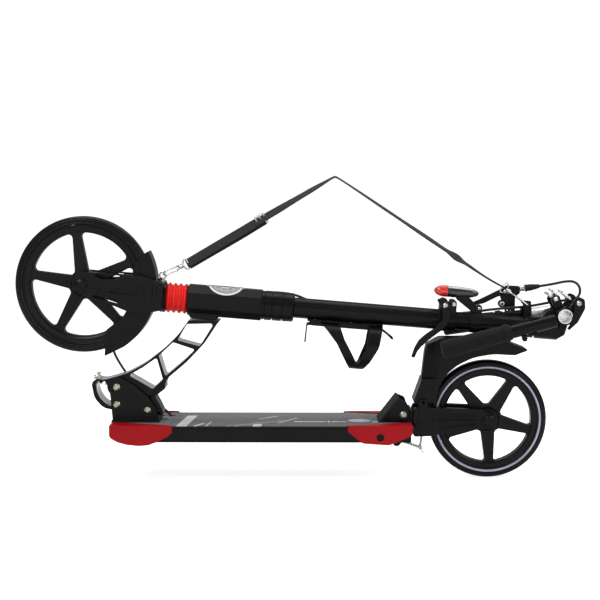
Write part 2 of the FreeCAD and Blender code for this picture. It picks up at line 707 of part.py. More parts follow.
def make_front_fender():
    """Mudguard round the tyre: a crown wall and two skirts, longer below the fork."""
    ax, az = front_axle_x, front_axle_offset
    inner, outer = front_radius + 6, front_radius + 10
    side_out, side_in = fork_inner - clear, fork_inner - clear - 2.5
    skirt = [(-284, 47, 3), (-268, 71, 4), (-259, 77, 4), (-235, 66, 4), (-238, 20, 30), (-243, -25, 20),
             (-257, -61, 30), (-279, -81, 30), (-321, -106, 1), (-322, -62, 6), (-292, -34, 30),
             (-283, 0, 40)]
    block = prism(skirt, -side_out, side_out)
    disc = rod_y(-60, 60, outer, ax, az)
    hollow_out = rod_y(-side_in, side_in, inner, ax, az)
    fender = block.common(disc).cut(hollow_out)
    return placed(fender, stem_place)


def make_bellows():
    """Red rubber gaiter over the sliding rod."""
    start, end = -226.2, head_start - 0.3
    pitch = (end - start) / bellows_ribs
    profile = [(start, bellows_radius - 6), (start, bellows_radius - 4)]
    for i in range(bellows_ribs):
        at = start + pitch * i
        profile += [(at + pitch * 0.3, bellows_radius), (at + pitch * 0.7, bellows_radius),
                    (at + pitch, bellows_radius - 4)]
    profile += [(end, bellows_radius - 6)]
    return placed(turned(profile, Vector(), Vector(1, 0, 0)), stem_place)


def make_fork_spring():
    """Coil spring above the fork's rod, inside the steerer, as rings joined by a thin core tube."""
    start, end = head_end - 4.5, collar_end - 16
    count = 7
    pitch = (end - start) / count
    profile = [(start, 8.0)]
    for i in range(count):
        at = start + pitch * i
        profile += [(at, 9.0), (at + pitch * 0.25, 12.0), (at + pitch * 0.5, 12.0),
                    (at + pitch * 0.75, 9.0)]
    profile += [(end, 9.0), (end, 8.0)]
    return placed(turned(profile, Vector(), Vector(1, 0, 0)), stem_place)


# ---- handlebar tee -----------------------------------------------------------------------------
def make_tee():
    """Casting on the upper tube with the cross socket that takes both handlebar halves."""
    x, z = socket_x, socket_offset
    cross = rod_y(-tee_half_width, tee_half_width, socket_radius, x, z)
    sleeve = rod_x(x - 42, x - 4, upper_tube_radius + 4)
    web = prism([(x - 38, -8, 3), (x - 38, 12, 8), (x - 26, 30, 8), (x - 6, 38, 6), (x + 4, 36, 6),
                 (x + 12, 20, 6),
                 (x + 6, -8, 6), (x - 6, -16, 4)], -16, 16)
    ears = []
    for side in (-1, 1):
        y0, y1 = sorted((side * 26, side * 36))
        ears.append(prism([(x + 2, z - 2), (x + 10, z + 4, 2), (x + 27, z + 16, 4), (x + 25, z + 31, 6),
                           (x + 14, z + 33, 6), (x - 2, z + 12)], y0, y1))
    lug = [(x - 14, z + 6), (x - 30, z + 26, 4), (x - 24, z + 38, 4), (x - 12, z + 34, 4), (x + 2, z + 12)]
    lugs = both_sides(lug, 16, 24)
    tee = fused(cross, sleeve, web, *ears, *lugs)
    tools = [rod_y(-60, 60, socket_bore, x, z), rod_x(x - 60, x - 14, upper_tube_radius + 0.05),
             rod_y(-60, 60, bolt_radius - 1.9, x + 20, z + 24), rod_y(-60, 60, 2.6, x - 24, z + 32)]
    for side in (-1, 1):
        y0, y1 = sorted((side * 20, side * 60))
        tools.append(box(x - 1, x + 1, y0, y1, z + socket_bore - 3, z + 60))
    return placed(cut(tee, *tools), stem_place)


def tee_bolt():
    """Bolt through the tee's lugs."""
    bolt = button_bolt(-24 - seat, 24 + seat, socket_x - 24, socket_offset + 32, 2.5, 4.6, 3.2, 2.0)
    return placed(bolt, stem_place)


def make_tee_lever(side):
    """Cam lever that closes one end of the socket."""
    x, z = socket_x + 20, socket_offset + 24
    y0, y1 = sorted((side * (36 + seat), side * 44))
    arm = prism([(x + 9, z + 7, 6), (x - 2, z + 11, 6), (x - 10, z + 3, 6), (x - 4, z - 12, 8),
                 (x - 4, z - 28, 10),
                 (x - 15, z - 44, 2), (x - 12, z - 46, 1), (x + 1, z - 32, 8), (x + 11, z - 8, 8)], y0, y1)
    pin = rod_y(min(side * 24, side * 46), max(side * 24, side * 46), bolt_radius - 1.9 - running, x, z)
    head = rod_y(min(side * 44, side * 46), max(side * 44, side * 46), 5.2, x, z)
    return placed(fused(arm, pin, head), stem_place)


def make_light():
    """Rear lamp: round body, diagonal neck and its band round the upper tube."""
    body = turned([(246, 0), (246, 9.6), (270, 9.2), (288, 7.4), (296, 4.5), (298, 0)],
                  Vector(0, 0, light_offset), Vector(1, 0, 0))
    neck = prism([(258, 44, 2), (282, 42, 2), (306, 20, 4), (306, 10), (290, 10), (288, 18, 6),
                  (262, 36, 4)], -6, 6)
    band = hollow(287, 305, upper_tube_radius + 3.2, upper_tube_radius + seat)
    lamp = fused(body, neck, band).cut(rod_x(280, 310, upper_tube_radius + seat))
    return placed(lamp, stem_place)


def make_lens():
    lens = turned([(223, 0), (224, 4.5), (229, 8.2), (236, 9.6), (246 - seat, 9.6), (246 - seat, 0)],
                  Vector(0, 0, light_offset), Vector(1, 0, 0))
    return placed(lens, stem_place)


def bar_height(place, droop, x):
    """Height of a folded handlebar half's axis over the stem's axis, at x along the stem."""
    end = stem_place.inverse().multVec(place.Base)
    return end.z - (end.x - x) * math.tan(math.radians(droop + stem_tilt))


def make_clip():
    """Clip on the upper tube: a cradle for each folded handlebar half and the strap's tab on top."""
    ring = hollow(clip_x - 8, clip_x + 8, upper_tube_radius + 3.5, upper_tube_radius + 0.1)
    tab = prism([(clip_x - 5, 14), (clip_x + 5, 14), (clip_x + 1, 40, 2), (clip_x + 1, 43, 1),
                 (clip_x - 15, 43, 1), (clip_x - 15, 40, 1), (clip_x - 11, 36, 3)], -6, 6)
    slot = box(clip_x - 20, clip_x + 8, -2.4, 2.4, 27.5, 50)
    pin = rod_y(-6, 6, 1.6, clip_x - 4.6, 34.8)
    pieces = [ring, fused(tab.cut(slot), pin)]
    for side, place, droop in ((-1, left_bar_place, left_bar_droop),
                               (1, right_bar_place, right_bar_droop)):
        height = bar_height(place, droop, clip_x)
        reach = bar_spacing - bar_radius - 1.0
        y0, y1 = sorted((side * 14, side * reach))
        arm = box(clip_x - 5, clip_x + 5, y0, y1, height - 6, height + 6)
        y0, y1 = sorted((side * (reach - 4), side * (bar_spacing + 3)))
        cradle = box(clip_x - 7, clip_x + 7, y0, y1, height - bar_radius - 4.5, height + bar_radius + 4.5)
        pieces += [arm, cradle]
    clip = fused(*pieces)
    tools = [rod_x(clip_x - 30, clip_x + 30, upper_tube_radius + 0.1)]
    for side, place in ((-1, left_bar_place), (1, right_bar_place)):
        room = bar_radius + clear
        channel = fused(rod_x(-120, 10, room), box(-120, 10, min(0, side * 40), max(0, side * 40), -room,
                                                   room))
        tools.append(placed(placed(channel, place), stem_place.inverse()))
    clip = placed(cut(clip, *tools), stem_place)
    return max(clip.Solids, key=lambda solid: solid.Volume)


# ---- handlebar halves --------------------------------------------------------------------------
def make_bar(place, side):
    """Tube of a handlebar half, open at its inner end, with the spring button's hole."""
    tube = hollow(-bar_length, 0, bar_radius, bar_inner)
    y0, y1 = sorted((0, -side * (bar_radius + 2)))
    tube = tube.cut(rod_y(y0, y1, 3.5, -24))
    return placed(tube, place)


def make_button(place, side):
    inner, outer = -side * (bar_radius - 4.5), -side * (bar_radius + 3.0)
    y0, y1 = sorted((inner, outer))
    return placed(rod_y(y0, y1, 3.5 - running, -24), place)


def make_grip(place, length):
    """Foam grip with a narrower inner end and a closed outer end."""
    start = -bar_length - 3
    profile = [(start, 0), (start, grip_radius - 2), (start + 2, grip_radius),
               (start + 70, grip_radius - 0.5),
               (start + length - 8, grip_radius - 1.6), (start + length, grip_radius - 2.6),
               (start + length, bar_radius + 0.1), (start + 3 - seat, bar_radius + 0.1),
               (start + 3 - seat, 0)]
    return placed(turned(profile, Vector(), Vector(1, 0, 0)), place)


def make_brake_body():
    """Clamp, bracket and cable stop of the brake lever."""
    ring = hollow(brake_x - 7, brake_x + 7, bar_radius + 4, bar_radius + 0.1)
    post = prism([(brake_x - 7, 8), (brake_x - 8, 24, 6), (brake_x - 12, 38, 5), (brake_x - 6, 52, 5),
                  (brake_x + 1, 56, 4), (brake_x + 23, 52, 3), (brake_x + 22, 40, 3),
                  (brake_x + 13, 35, 6),
                  (brake_x + 9, 8)], -6, 6)
    slot = prism([(brake_x - 16, 27), (brake_x - 16, 60), (brake_x + 8, 60), (brake_x + 8, 42),
                  (brake_x - 4, 27)],
                 -3.2, 3.2)
    body = fused(ring, post).cut(rod_x(-120, -50, bar_radius + 0.1)).cut(slot)
    pin = rod_y(-6, 6, 2.5, brake_x - 3, 46)
    return placed(fused(body, pin), right_bar_place)


def make_brake_blade():
    """Finger lever of the rear brake."""
    x, z = brake_x - 3, 46.0
    blade = prism([(x + 7, z + 3, 3), (x + 2, z + 7, 4), (x - 8, z + 5, 8), (x - 38, z - 5, 14),
                   (x - 62, z - 12, 3),
                   (x - 61, z - 17, 3), (x - 38, z - 15, 14), (x - 14, z - 7, 10), (x + 3, z - 5, 4)], -2.8,
                   2.8)
    return placed(blade.cut(rod_y(-5, 5, 2.5 + running, x, z)), right_bar_place)


def make_adjuster():
    """Barrel adjuster and rubber boot at the cable's start."""
    x0, z = brake_x + 23 + seat, 47.0
    profile = [(0, 0), (0, 4.6), (2.4, 4.6), (2.4, 3.2), (3.6, 3.2), (3.6, 5.0), (6.8, 5.0), (6.8, 3.6),
               (8.5, 3.6), (8.5, 6.2), (12, 6.4), (20, 5.6), (28, 4.4), (34, 3.6), (34, 0)]
    return placed(turned(profile, Vector(x0, 0, z), Vector(1, 0, 0)), right_bar_place)


# ---- strap and cable ---------------------------------------------------------------------------
def ribbon(points, thickness, half_width):
    """A flat strap along XZ points, its width along Y."""
    upper, lower = [], []
    for i, here in enumerate(points):
        before = points[max(i - 1, 0)]
        after = points[min(i + 1, len(points) - 1)]
        direction = after - before
        direction.normalize()
        side = Vector(-direction.z, 0, direction.x) * (thickness / 2)
        upper.append(here + side)
        lower.append(here - side)
    corners = [(p.x, p.z) for p in upper] + [(p.x, p.z) for p in reversed(lower)]
    return prism(corners, -half_width, half_width)


def make_strap():
    """Carrying strap, pulled straight up at its middle."""
    lean = (strap_top - front_hook_end)
    lean.normalize()
    points = [front_hook_end, Vector(-64, 0, 437), strap_top - lean * 14, strap_top, Vector(76, 0, 500),
              Vector(322, 0, 333), rear_hook_end]
    return ribbon(points, strap_thickness, strap_width / 2)


def snap_hook(start, end, ring_radius, margin=0.0):
    """A snap hook in the XZ plane, from the strap's end to the eye that it hooks into."""
    line = end - start
    direction = Vector(line)
    direction.normalize()
    swivel = rod(start + direction * 2.5, start + direction * 9, 3.4 + margin)
    loop_centre = end - direction * (ring_radius - 1.6)
    reach = line.Length - 9 - 2 * ring_radius + 3.2
    shank = rod(start + direction * 8, start + direction * (10 + reach), 2.2 + margin)
    loop = Part.makeTorus(ring_radius, 1.7 + margin, loop_centre, axis_y)
    return fused(swivel, shank, loop)


def make_front_hook():
    """The fork crown's eyelet and the strap's snap hook in it."""
    base = placed(rod_z(26.2, 31, 3.2, -235), stem_place)
    eye = placed(Part.makeTorus(5.4, 1.6, Vector(-235, 0, 36), axis_y), stem_place)
    tip = along_stem(-231.5, 39)
    start = front_hook_end - Vector(2, 0, 1)
    eyelet = fused(base, eye).cut(snap_hook(start, tip, 6.5, seat))
    return [max(eyelet.Solids, key=lambda solid: solid.Volume), snap_hook(start, tip, 6.5)]


def make_rear_hook():
    tip = along_stem(clip_x - 2.5, 34)
    return snap_hook(rear_hook_end + Vector(2, 0, -1.4), tip, 5.6)


def make_slider():
    """Metal slider that sets the strap's length."""
    a, b = Vector(-72, 0, 432.2), Vector(-56, 0, 441.8)
    direction = b - a
    direction.normalize()
    half = strap_width / 2 + 0.6
    outer = box(0, 16, -13, 13, -3.4, 3.4)
    window = fused(box(2.5, 13.5, -half, half, -5, 5), box(-1, 17, -half, half, -5,
                                                           strap_thickness / 2 + 0.4))
    tilt = math.degrees(math.atan2(direction.z, direction.x))
    return placed(outer.cut(window), Placement(a, Rotation(axis_y, -tilt)))


def make_cable():
    """Brake cable from the lever, along the stem's right side, past the front wheel, into the deck."""
    start = right_bar_place.multVec(Vector(brake_x + 57.5, 0, 47))
    second = right_bar_place.multVec(Vector(brake_x + 76, 0, 47))
    loop = [(457, 56, 329), (472.6, 55, 329), (482, 54, 319.6), (482, 52.5, 306.4), (472.6, 51, 297),
            (458, 50, 296.8), (436, 45, 295), (412, 31, 291.5), (385, 23, 287.8), (330, 21.5, 284)]
    beside = [(285, 13, 21.5), (250, 8, 24), (215, 2, 23), (150, 1, 21.5), (105, 0.4, 22), (60, 2, 21.5),
              (15, 11, 24), (-12, 21, 27), (-58, 21, 29), (-100, 12, 31), (-140, 8, 32), (-180, 6, 32),
              (-230, 6, 39), (-270, -12, 44), (-296, -38, 43)]
    down = [(-322, 42, 246), (-326, 41, 226), (-321, 40, 206), (-310, 39, 186), (-296, 38, 166),
            (-277, 38, 146), (-256, 38, 128), (-238, 37.4, 112), (-225, 36.6, 101), (-219, 36, 93)]
    route = [start, second] + [Vector(x, y, z) for x, y, z in loop]
    route += [along_stem(x, z, y) for x, z, y in beside]
    route += [Vector(x, y, z) for x, y, z in down]
    return cord_tube(route, cable_radius)


# ---- rear end ----------------------------------------------------------------------------------
def make_rear_bracket():
    """Wedge on the deck's end: cheeks, sloping face, and the lugs that carry the swing arms."""
    cheek = [(wedge_front, deck_top), (deck_rear - 20, deck_top + 41, 3),
             (deck_rear - 5, deck_top + 35, 6),
             (deck_rear - 1, deck_top + 22, 8), (deck_rear - 1, deck_top)]
    cheeks = both_sides(cheek, wedge_half - wedge_wall, wedge_half)
    slope = prism([(wedge_front, deck_top), (deck_rear - 20, deck_top + 41),
                   (deck_rear - 17, deck_top + 37),
                   (wedge_front + 6, deck_top)], -wedge_half + 1, wedge_half - 1)
    back = box(deck_rear + 0.4, deck_rear + 4.4, -wedge_half + 1, wedge_half - 1, arm_pivot_z - 11,
               deck_top + 21)
    tie = box(deck_rear - 14, deck_rear + 2, -wedge_half + 1, wedge_half - 1, deck_top, deck_top + 4)
    px, pz = arm_pivot_x, arm_pivot_z
    lug = [(deck_rear + 1, pz - 10), (px, pz - 10, 7), (px + 10, pz - 8, 8), (px + 10, pz + 8, 8),
           (px, pz + 10, 7),
           (deck_rear + 1, pz + 10)]
    lugs = both_sides(lug, 9, arm_inner - 0.6)
    bracket = fused(slope, back, tie, *cheeks, *lugs)
    return cut(bracket, rod_y(-60, 60, bolt_radius, px, pz), rod_y(-60, 60, 3.0 + running, wedge_bolt_x,
                                                                   wedge_bolt_z))


def arm_outline():
    x, z = rear_axle_x, rear_axle_z
    return [(deck_rear + 6, deck_bottom + 2, 5), (deck_rear + 7.5, 121, 5), (deck_rear + 22, 123, 6),
            (x - 14, z + 19, 16),
            (x + 8, z + 10, 10), (x + 13, z, 12), (x + 7, z - 12, 10), (x - 8, z - 13, 14),
            (x - 70, 79, 40),
            (deck_rear + 34, deck_bottom + 3, 10)]


def make_arm(side):
    """Swing arm with long ribs on its outer face; the left one carries the damper's bridge."""
    y0, y1 = sorted((side * arm_inner, side * arm_outer))
    arm = prism(arm_outline(), y0, y1)
    x, z = rear_axle_x, rear_axle_z
    grooves = []
    for low, high in ((103, 107), (84, 88)):
        face = side * arm_outer
        g0, g1 = sorted((face - side * 2, face + side * 3))
        grooves.append(prism([(deck_rear + 48, low, 1.5), (x - 26, low + (z - low) * 0.3, 1.5),
                              (x - 26, high + (z - high) * 0.3, 1.5), (deck_rear + 48, high, 1.5)], g0,
                              g1))
    e0, e1 = sorted((side * (fender_half_width + clear), side * arm_outer))
    ear = prism([(fender_pivot_x - 9, 116), (fender_pivot_x - 8, fender_pivot_z + 5, 5),
                 (fender_pivot_x + 8, fender_pivot_z + 5, 5), (fender_pivot_x + 9, 116)], e0, e1)
    pieces = [arm, ear]
    if side < 0:
        pieces.append(box(arm_pivot_x + 11, arm_pivot_x + 19, -arm_inner - 1, arm_inner - seat, 104, 121))
    tools = [rod_y(-60, 60, bolt_radius, arm_pivot_x, arm_pivot_z), rod_y(-60, 60, axle_radius, x, z),
             rod_y(-60, 60, 2.5, fender_pivot_x, fender_pivot_z),
             rod_y(-arm_inner - 6, arm_inner + 6, 2.5, shoe_x, shoe_z)]
    return cut(fused(*pieces), *tools, *grooves)


def make_arm_bolts():
    """Pivot bolt of the swing arms, their cover screws, and the pins of the mudguard and brake shoe."""
    pieces = [button_bolt(-arm_outer - seat, arm_outer + seat, arm_pivot_x, arm_pivot_z,
                          bolt_radius - running),
              rod_y(-arm_outer, arm_outer, 2.5, fender_pivot_x, fender_pivot_z),
              rod_y(-arm_inner - 6, arm_inner + 6, 2.5, shoe_x, shoe_z)]
    for side in (-1, 1):
        for x, z in ((238, 95), (294, 98), (203, 114)):
            pieces.append(turned([(seat, 0), (seat, 3.4), (1.6, 3.2), (2.4, 2), (2.4, 0)],
                                 Vector(x, side * arm_outer, z), Vector(0, side, 0)))
    return group(pieces)


def make_damper():
    """Rubber block of the rear suspension."""
    return turned([(deck_rear + 4.6, 0), (deck_rear + 4.6, 6), (deck_rear + 8, 7.5),
                   (arm_pivot_x + 7.5, 7.5),
                   (arm_pivot_x + 10.8, 6), (arm_pivot_x + 10.8, 0)], Vector(0, 0, 111.5), Vector(1, 0, 0))


def make_rear_fender():
    """Rear mudguard that is pressed down with the heel; hollow underneath, hinged on the arms."""
    px, pz = fender_pivot_x, fender_pivot_z
    outline = [(px - 17, pz - 2, 3), (px - 2, pz + 40, 30), (210, 214, 10), (213, 227, 6), (236, 238, 10),
               (262, 238, 30), (296, 239.5, 60), (347, 233, 30), (384, 219, 2), (360, 210, 12),
               (324, 212, 60),
               (290, 206, 60), (264, 193, 40), (246, 178, 30), (232, 152, 20), (229, pz - 2, 4)]
    inside = [(px - 13, pz - 8), (px + 2, pz + 40, 30), (213.5, 212, 10), (216.5, 225, 6),
              (236, 234.5, 10),
              (262, 234.5, 30), (296, 236, 60), (345, 229.5, 30), (366, 220, 2), (366, 190), (324, 190),
              (290, 180), (250, 130), (236, 118)]
    half = fender_half_width
    shell = prism(outline, -half, half).cut(prism(inside, 3 - half, half - 3))
    shell = shell.cut(rod_y(-19, 19, rear_radius + 6, rear_axle_x, rear_axle_z))
    nose = plan_prism([(px - 30, 15 - half), (px + 2, 15 - half), (px + 26, -half - 1), (px - 30, -half - 1)],
                      170, 250)
    shell = cut(shell, nose, mirrored(nose))
    eyes = [rod_y(y, y + 3, 6.0, px, pz) for y in (-half, half - 3)]
    fender = fused(shell, *eyes).cut(rod_y(-60, 60, 2.5 + running, px, pz))
    return max(fender.Solids, key=lambda solid: solid.Volume)


def make_brake_arm():
    """Brake shoe in front of the rear tyre, with the rod and clamp that the cable's wire pulls."""
    x, z = shoe_x, shoe_z
    shoe = prism([(x - 4, z, 1), (x - 3, z + 19, 2), (x + 5, z + 19, 2), (x + 4.5, z, 1)], -7.5, 7.5)
    hub = rod_y(-7.5, 7.5, 5, x, z)
    stick = rod(Vector(x, 0, z), Vector(wire_x, 0, wire_z), 1.9)
    nipple = rod_y(-6, 6, 3.6, wire_x, wire_z)
    return fused(shoe, hub, stick, nipple).cut(rod_y(-9, 9, 2.5 + running, x, z))


def make_brake_spring():
    """Return spring on the brake wire, as ribs on the wire, between the stop and the clamp."""
    length = (wire_end - wire_start).Length
    coils = 6
    pitch = (length - 2) / coils
    profile = [(-20, 0), (-20, 0.8), (1, 0.8)]
    for i in range(coils):
        at = 1 + pitch * i
        profile += [(at, 3.3), (at + pitch * 0.45, 3.3), (at + pitch * 0.5, 0.8), (at + pitch * 0.95, 0.8)]
    profile += [(length, 0.8), (length, 0)]
    return turned(profile, wire_start, wire_end - wire_start)


def make_cable_stop():
    """Fin under the deck's end that holds the end of the brake cable's casing."""
    fin = prism([(stop_x - 18, deck_bottom - 2), (stop_x + 16, deck_bottom - 2),
                 (stop_x + 3, stop_z - 8, 3),
                 (stop_x - 4, stop_z - 8, 3)], -2.5, 2.5)
    base = box(stop_x - 20, stop_x + 18, -12, 12, deck_bottom - 2.6, deck_bottom)
    bore = rod(wire_start * 1.9 - wire_end * 0.9, wire_start, 1.2)
    return fused(fin, base).cut(bore)


# ---- the whole scooter -------------------------------------------------------------------------
def write(name, shape):
    shape = placed(shape, Placement(Vector(centring, 0, 0), Rotation()))
    if not shape.isValid():
        print("not valid:", name)
    shape.exportStep("parts/%s.step" % name)
    print("%-20s %d solid(s), %.0f mm3" % (name, len(shape.Solids), shape.Volume))


def main():
    os.makedirs("parts", exist_ok=True)
    front_tyre, front_rim, front_bearings = wheel(front_radius,
                                                  along_stem(front_axle_x, front_axle_offset))
    rear_tyre, rear_rim, rear_bearings = wheel(rear_radius, Vector(rear_axle_x, 0, rear_axle_z))
    front_bumper = make_bumper(front_plan, front_outline)
    rear_bumper = make_bumper(rear_plan, rear_outline)
    nodes = {
        "deck_extrusion": make_deck(),
        "grip_tape": make_tape(),
        "front_bumpers": group([front_bumper, mirrored(front_bumper)]),
        "rear_bumpers": group([rear_bumper, mirrored(rear_bumper)]),
        "hinge_bracket": make_bracket(),
        "deck_bolts": fold_bolts(),
        "rear_bracket": make_rear_bracket(),
        "cable_stop": make_cable_stop(),
        "release_lever": make_release_lever(),
        "neck_frame": make_neck(),
        "head_tube": make_head_tube(),
        "head_badge": make_badge(),
        "headset_bearings": make_headset(),
        "steerer_tube": placed(hollow(head_start + 0.5, collar_end - 12, steerer_radius, steerer_bore),
                               stem_place),
        "stem_collar": make_collar(),
        "stem_screws": stem_screws(),
        "lower_tube": make_lower_tube(),
        "height_clamp": make_height_clamp(),
        "clamp_lever": make_clamp_lever(),
        "bottle_cage": make_bottle_cage(),
        "brake_cable": make_cable(),
        "strap": make_strap(),
        "fork": make_fork(),
        "fork_spring": make_fork_spring(),
        "fork_fasteners": group([make_front_axle()] + fork_bolts()),
        "front_fender": make_front_fender(),
        "bellows": make_bellows(),
        "front_hook": group(make_front_hook() + [make_slider()]),
        "front_tyre": front_tyre,
        "front_rim": front_rim,
        "front_bearings": front_bearings,
        "upper_tube": placed(hollow(60, socket_x - 15, upper_tube_radius, upper_bore), stem_place),
        "tee_housing": make_tee(),
        "tee_bolt": tee_bolt(),
        "tee_lever_left": make_tee_lever(-1),
        "tee_lever_right": make_tee_lever(1),
        "light_housing": make_light(),
        "light_lens": make_lens(),
        "bar_clip": make_clip(),
        "rear_hook": make_rear_hook(),
        "left_bar_tube": make_bar(left_bar_place, -1),
        "left_grip": make_grip(left_bar_place, grip_length),
        "left_button": make_button(left_bar_place, -1),
        "right_bar_tube": make_bar(right_bar_place, 1),
        "right_grip": make_grip(right_bar_place, right_grip_length),
        "right_button": make_button(right_bar_place, 1),
        "brake_body": make_brake_body(),
        "brake_blade": make_brake_blade(),
        "cable_adjuster": make_adjuster(),
        "left_arm": make_arm(-1),
        "right_arm": make_arm(1),
        "arm_bolts": make_arm_bolts(),
        "rear_axle": axle(rear_axle_x, rear_axle_z, arm_outer + seat, 10.5),
        "rear_damper": make_damper(),
        "rear_tyre": rear_tyre,
        "rear_rim": rear_rim,
        "rear_bearings": rear_bearings,
        "rear_fender": make_rear_fender(),
        "brake_arm": make_brake_arm(),
        "brake_spring": make_brake_spring(),
    }
    for name, shape in nodes.items():
        write(name, shape)
    print(len(nodes), "nodes")


if __name__ == "__main__":
    main()
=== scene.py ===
import bpy
import bmesh
from math import atan2, cos, degrees, hypot, pi, radians, sin, tan
from mathutils import Matrix, Vector


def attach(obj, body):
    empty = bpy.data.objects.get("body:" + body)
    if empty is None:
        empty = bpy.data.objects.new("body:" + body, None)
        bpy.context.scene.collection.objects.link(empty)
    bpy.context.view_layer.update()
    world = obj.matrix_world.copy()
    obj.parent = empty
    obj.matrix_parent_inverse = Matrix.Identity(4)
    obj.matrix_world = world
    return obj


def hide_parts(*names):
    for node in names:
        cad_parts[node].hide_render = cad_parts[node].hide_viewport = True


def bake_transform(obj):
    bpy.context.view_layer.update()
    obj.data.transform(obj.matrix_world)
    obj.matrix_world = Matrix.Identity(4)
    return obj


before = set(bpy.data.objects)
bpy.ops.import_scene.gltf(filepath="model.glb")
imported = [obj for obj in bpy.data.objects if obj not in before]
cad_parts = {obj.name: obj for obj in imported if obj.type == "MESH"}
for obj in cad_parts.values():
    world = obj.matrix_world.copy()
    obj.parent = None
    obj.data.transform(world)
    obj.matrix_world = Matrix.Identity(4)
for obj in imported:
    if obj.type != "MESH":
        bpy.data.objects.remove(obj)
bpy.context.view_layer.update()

# the drawing plane of the parts, moved so that the scooter's middle is over the origin
layout = {
    "centring": -2.15,
    "stemTilt": 4.6,
    "stemHeight": 287.3,
    "socket": (440, 25),
    "leftBar": (-57, 14.8, 14),      # side, droop, distance from the socket
    "rightBar": (57, 8, -4),
    "frontAxle": (-367, 11),
    "rearAxle": (317, 100),
}
mm = 0.001
scooterFrame = Matrix.Translation((layout["centring"] * mm, 0, 0))
stemFrame = (Matrix.Translation((layout["centring"] * mm, 0, layout["stemHeight"] * mm))
             @ Matrix.Rotation(radians(layout["stemTilt"]), 4, "Y"))


def barFrame(side, droop, gap):
    x, z = layout["socket"]
    middle = stemFrame @ Vector((x * mm, 0, z * mm))
    slope = radians(droop)
    base = (middle.x - gap * mm * cos(slope), side * mm, middle.z - gap * mm * sin(slope))
    return Matrix.Translation(base) @ Matrix.Rotation(-slope, 4, "Y")


leftFrame = barFrame(*layout["leftBar"])
rightFrame = barFrame(*layout["rightBar"])


def inScooter(point):
    # a point of the drawing plane, in mm, where it lies in the scene
    return scooterFrame @ (Vector(point) * mm)


def inStem(x, z, y=0.0):
    # a point of the stem's own frame, in the drawing plane's mm
    return scooterFrame.inverted() @ stemFrame @ Vector((x * mm, y * mm, z * mm)) / mm


camera = {"place": (0.01604, -2.377, 0.4967), "down": 4.71, "left": 0.439, "focal": 1412.6, "sensor": 36,
    "width": 600}
cam = bpy.data.cameras.new("camera")
cam.sensor_width = camera["sensor"]
cam.lens = camera["focal"] * camera["sensor"] / camera["width"]
cam.clip_end = 60
camObject = bpy.data.objects.new("camera", cam)
bpy.context.collection.objects.link(camObject)
camObject.location = camera["place"]
camObject.rotation_euler = (radians(90 - camera["down"]), 0, radians(camera["left"]))
bpy.context.scene.camera = camObject
bpy.context.scene.view_settings.view_transform = "Standard"

studio = {
    "lamps": (                      # name, place, aims at, size, watts
        ("keyLamp", (-1.2, -1.9, 2.3), (0, 0, 0.2), (1.4, 0.8), 34),
        ("fillLamp", (1.9, -1.7, 1.5), (0, 0, 0.25), (1.0, 1.0), 16),
        ("topLamp", (0, 0.3, 2.3), (0, 0, 0.2), (2.2, 1.0), 26),
        ("lowLamp", (0.1, -2.3, 0.35), (0, 0, 0.3), (2.2, 0.3), 4),
    ),
    "ambient": 0.36,
}
for name, place, aim, size, power in studio["lamps"]:
    light = bpy.data.lights.new(name, "AREA")
    light.shape = "RECTANGLE"
    light.size, light.size_y = size
    light.energy = power
    holder = bpy.data.objects.new(name, light)
    bpy.context.collection.objects.link(holder)
    holder.location = place
    holder.rotation_mode = "QUATERNION"
    holder.rotation_quaternion = (Vector(aim) - Vector(place)).to_track_quat("-Z", "Y")


class Value:
    # a number in a material, with the usual signs for sums on it
    def __init__(self, tree, socket):
        self.tree = tree
        self.socket = socket

    def math(self, operation, other, swapped=False):
        made = self.tree.nodes.new("ShaderNodeMath")
        made.operation = operation
        for socket, item in zip(made.inputs, (other, self) if swapped else (self, other)):
            if isinstance(item, Value):
                self.tree.links.new(item.socket, socket)
            else:
                socket.default_value = item
        return Value(self.tree, made.outputs[0])


signs = {
    "add": "ADD", "sub": "SUBTRACT", "mul": "MULTIPLY", "truediv": "DIVIDE", "pow": "POWER", "gt": "GREATER_THAN",
    "lt": "LESS_THAN",
}
for sign, operation in signs.items():
    setattr(Value, "__%s__" % sign, lambda self, other, done=operation: self.math(done, other))
    if sign in ("add", "sub", "mul"):
        setattr(Value, "__r%s__" % sign, lambda self, other, done=operation: self.math(done, other, True))


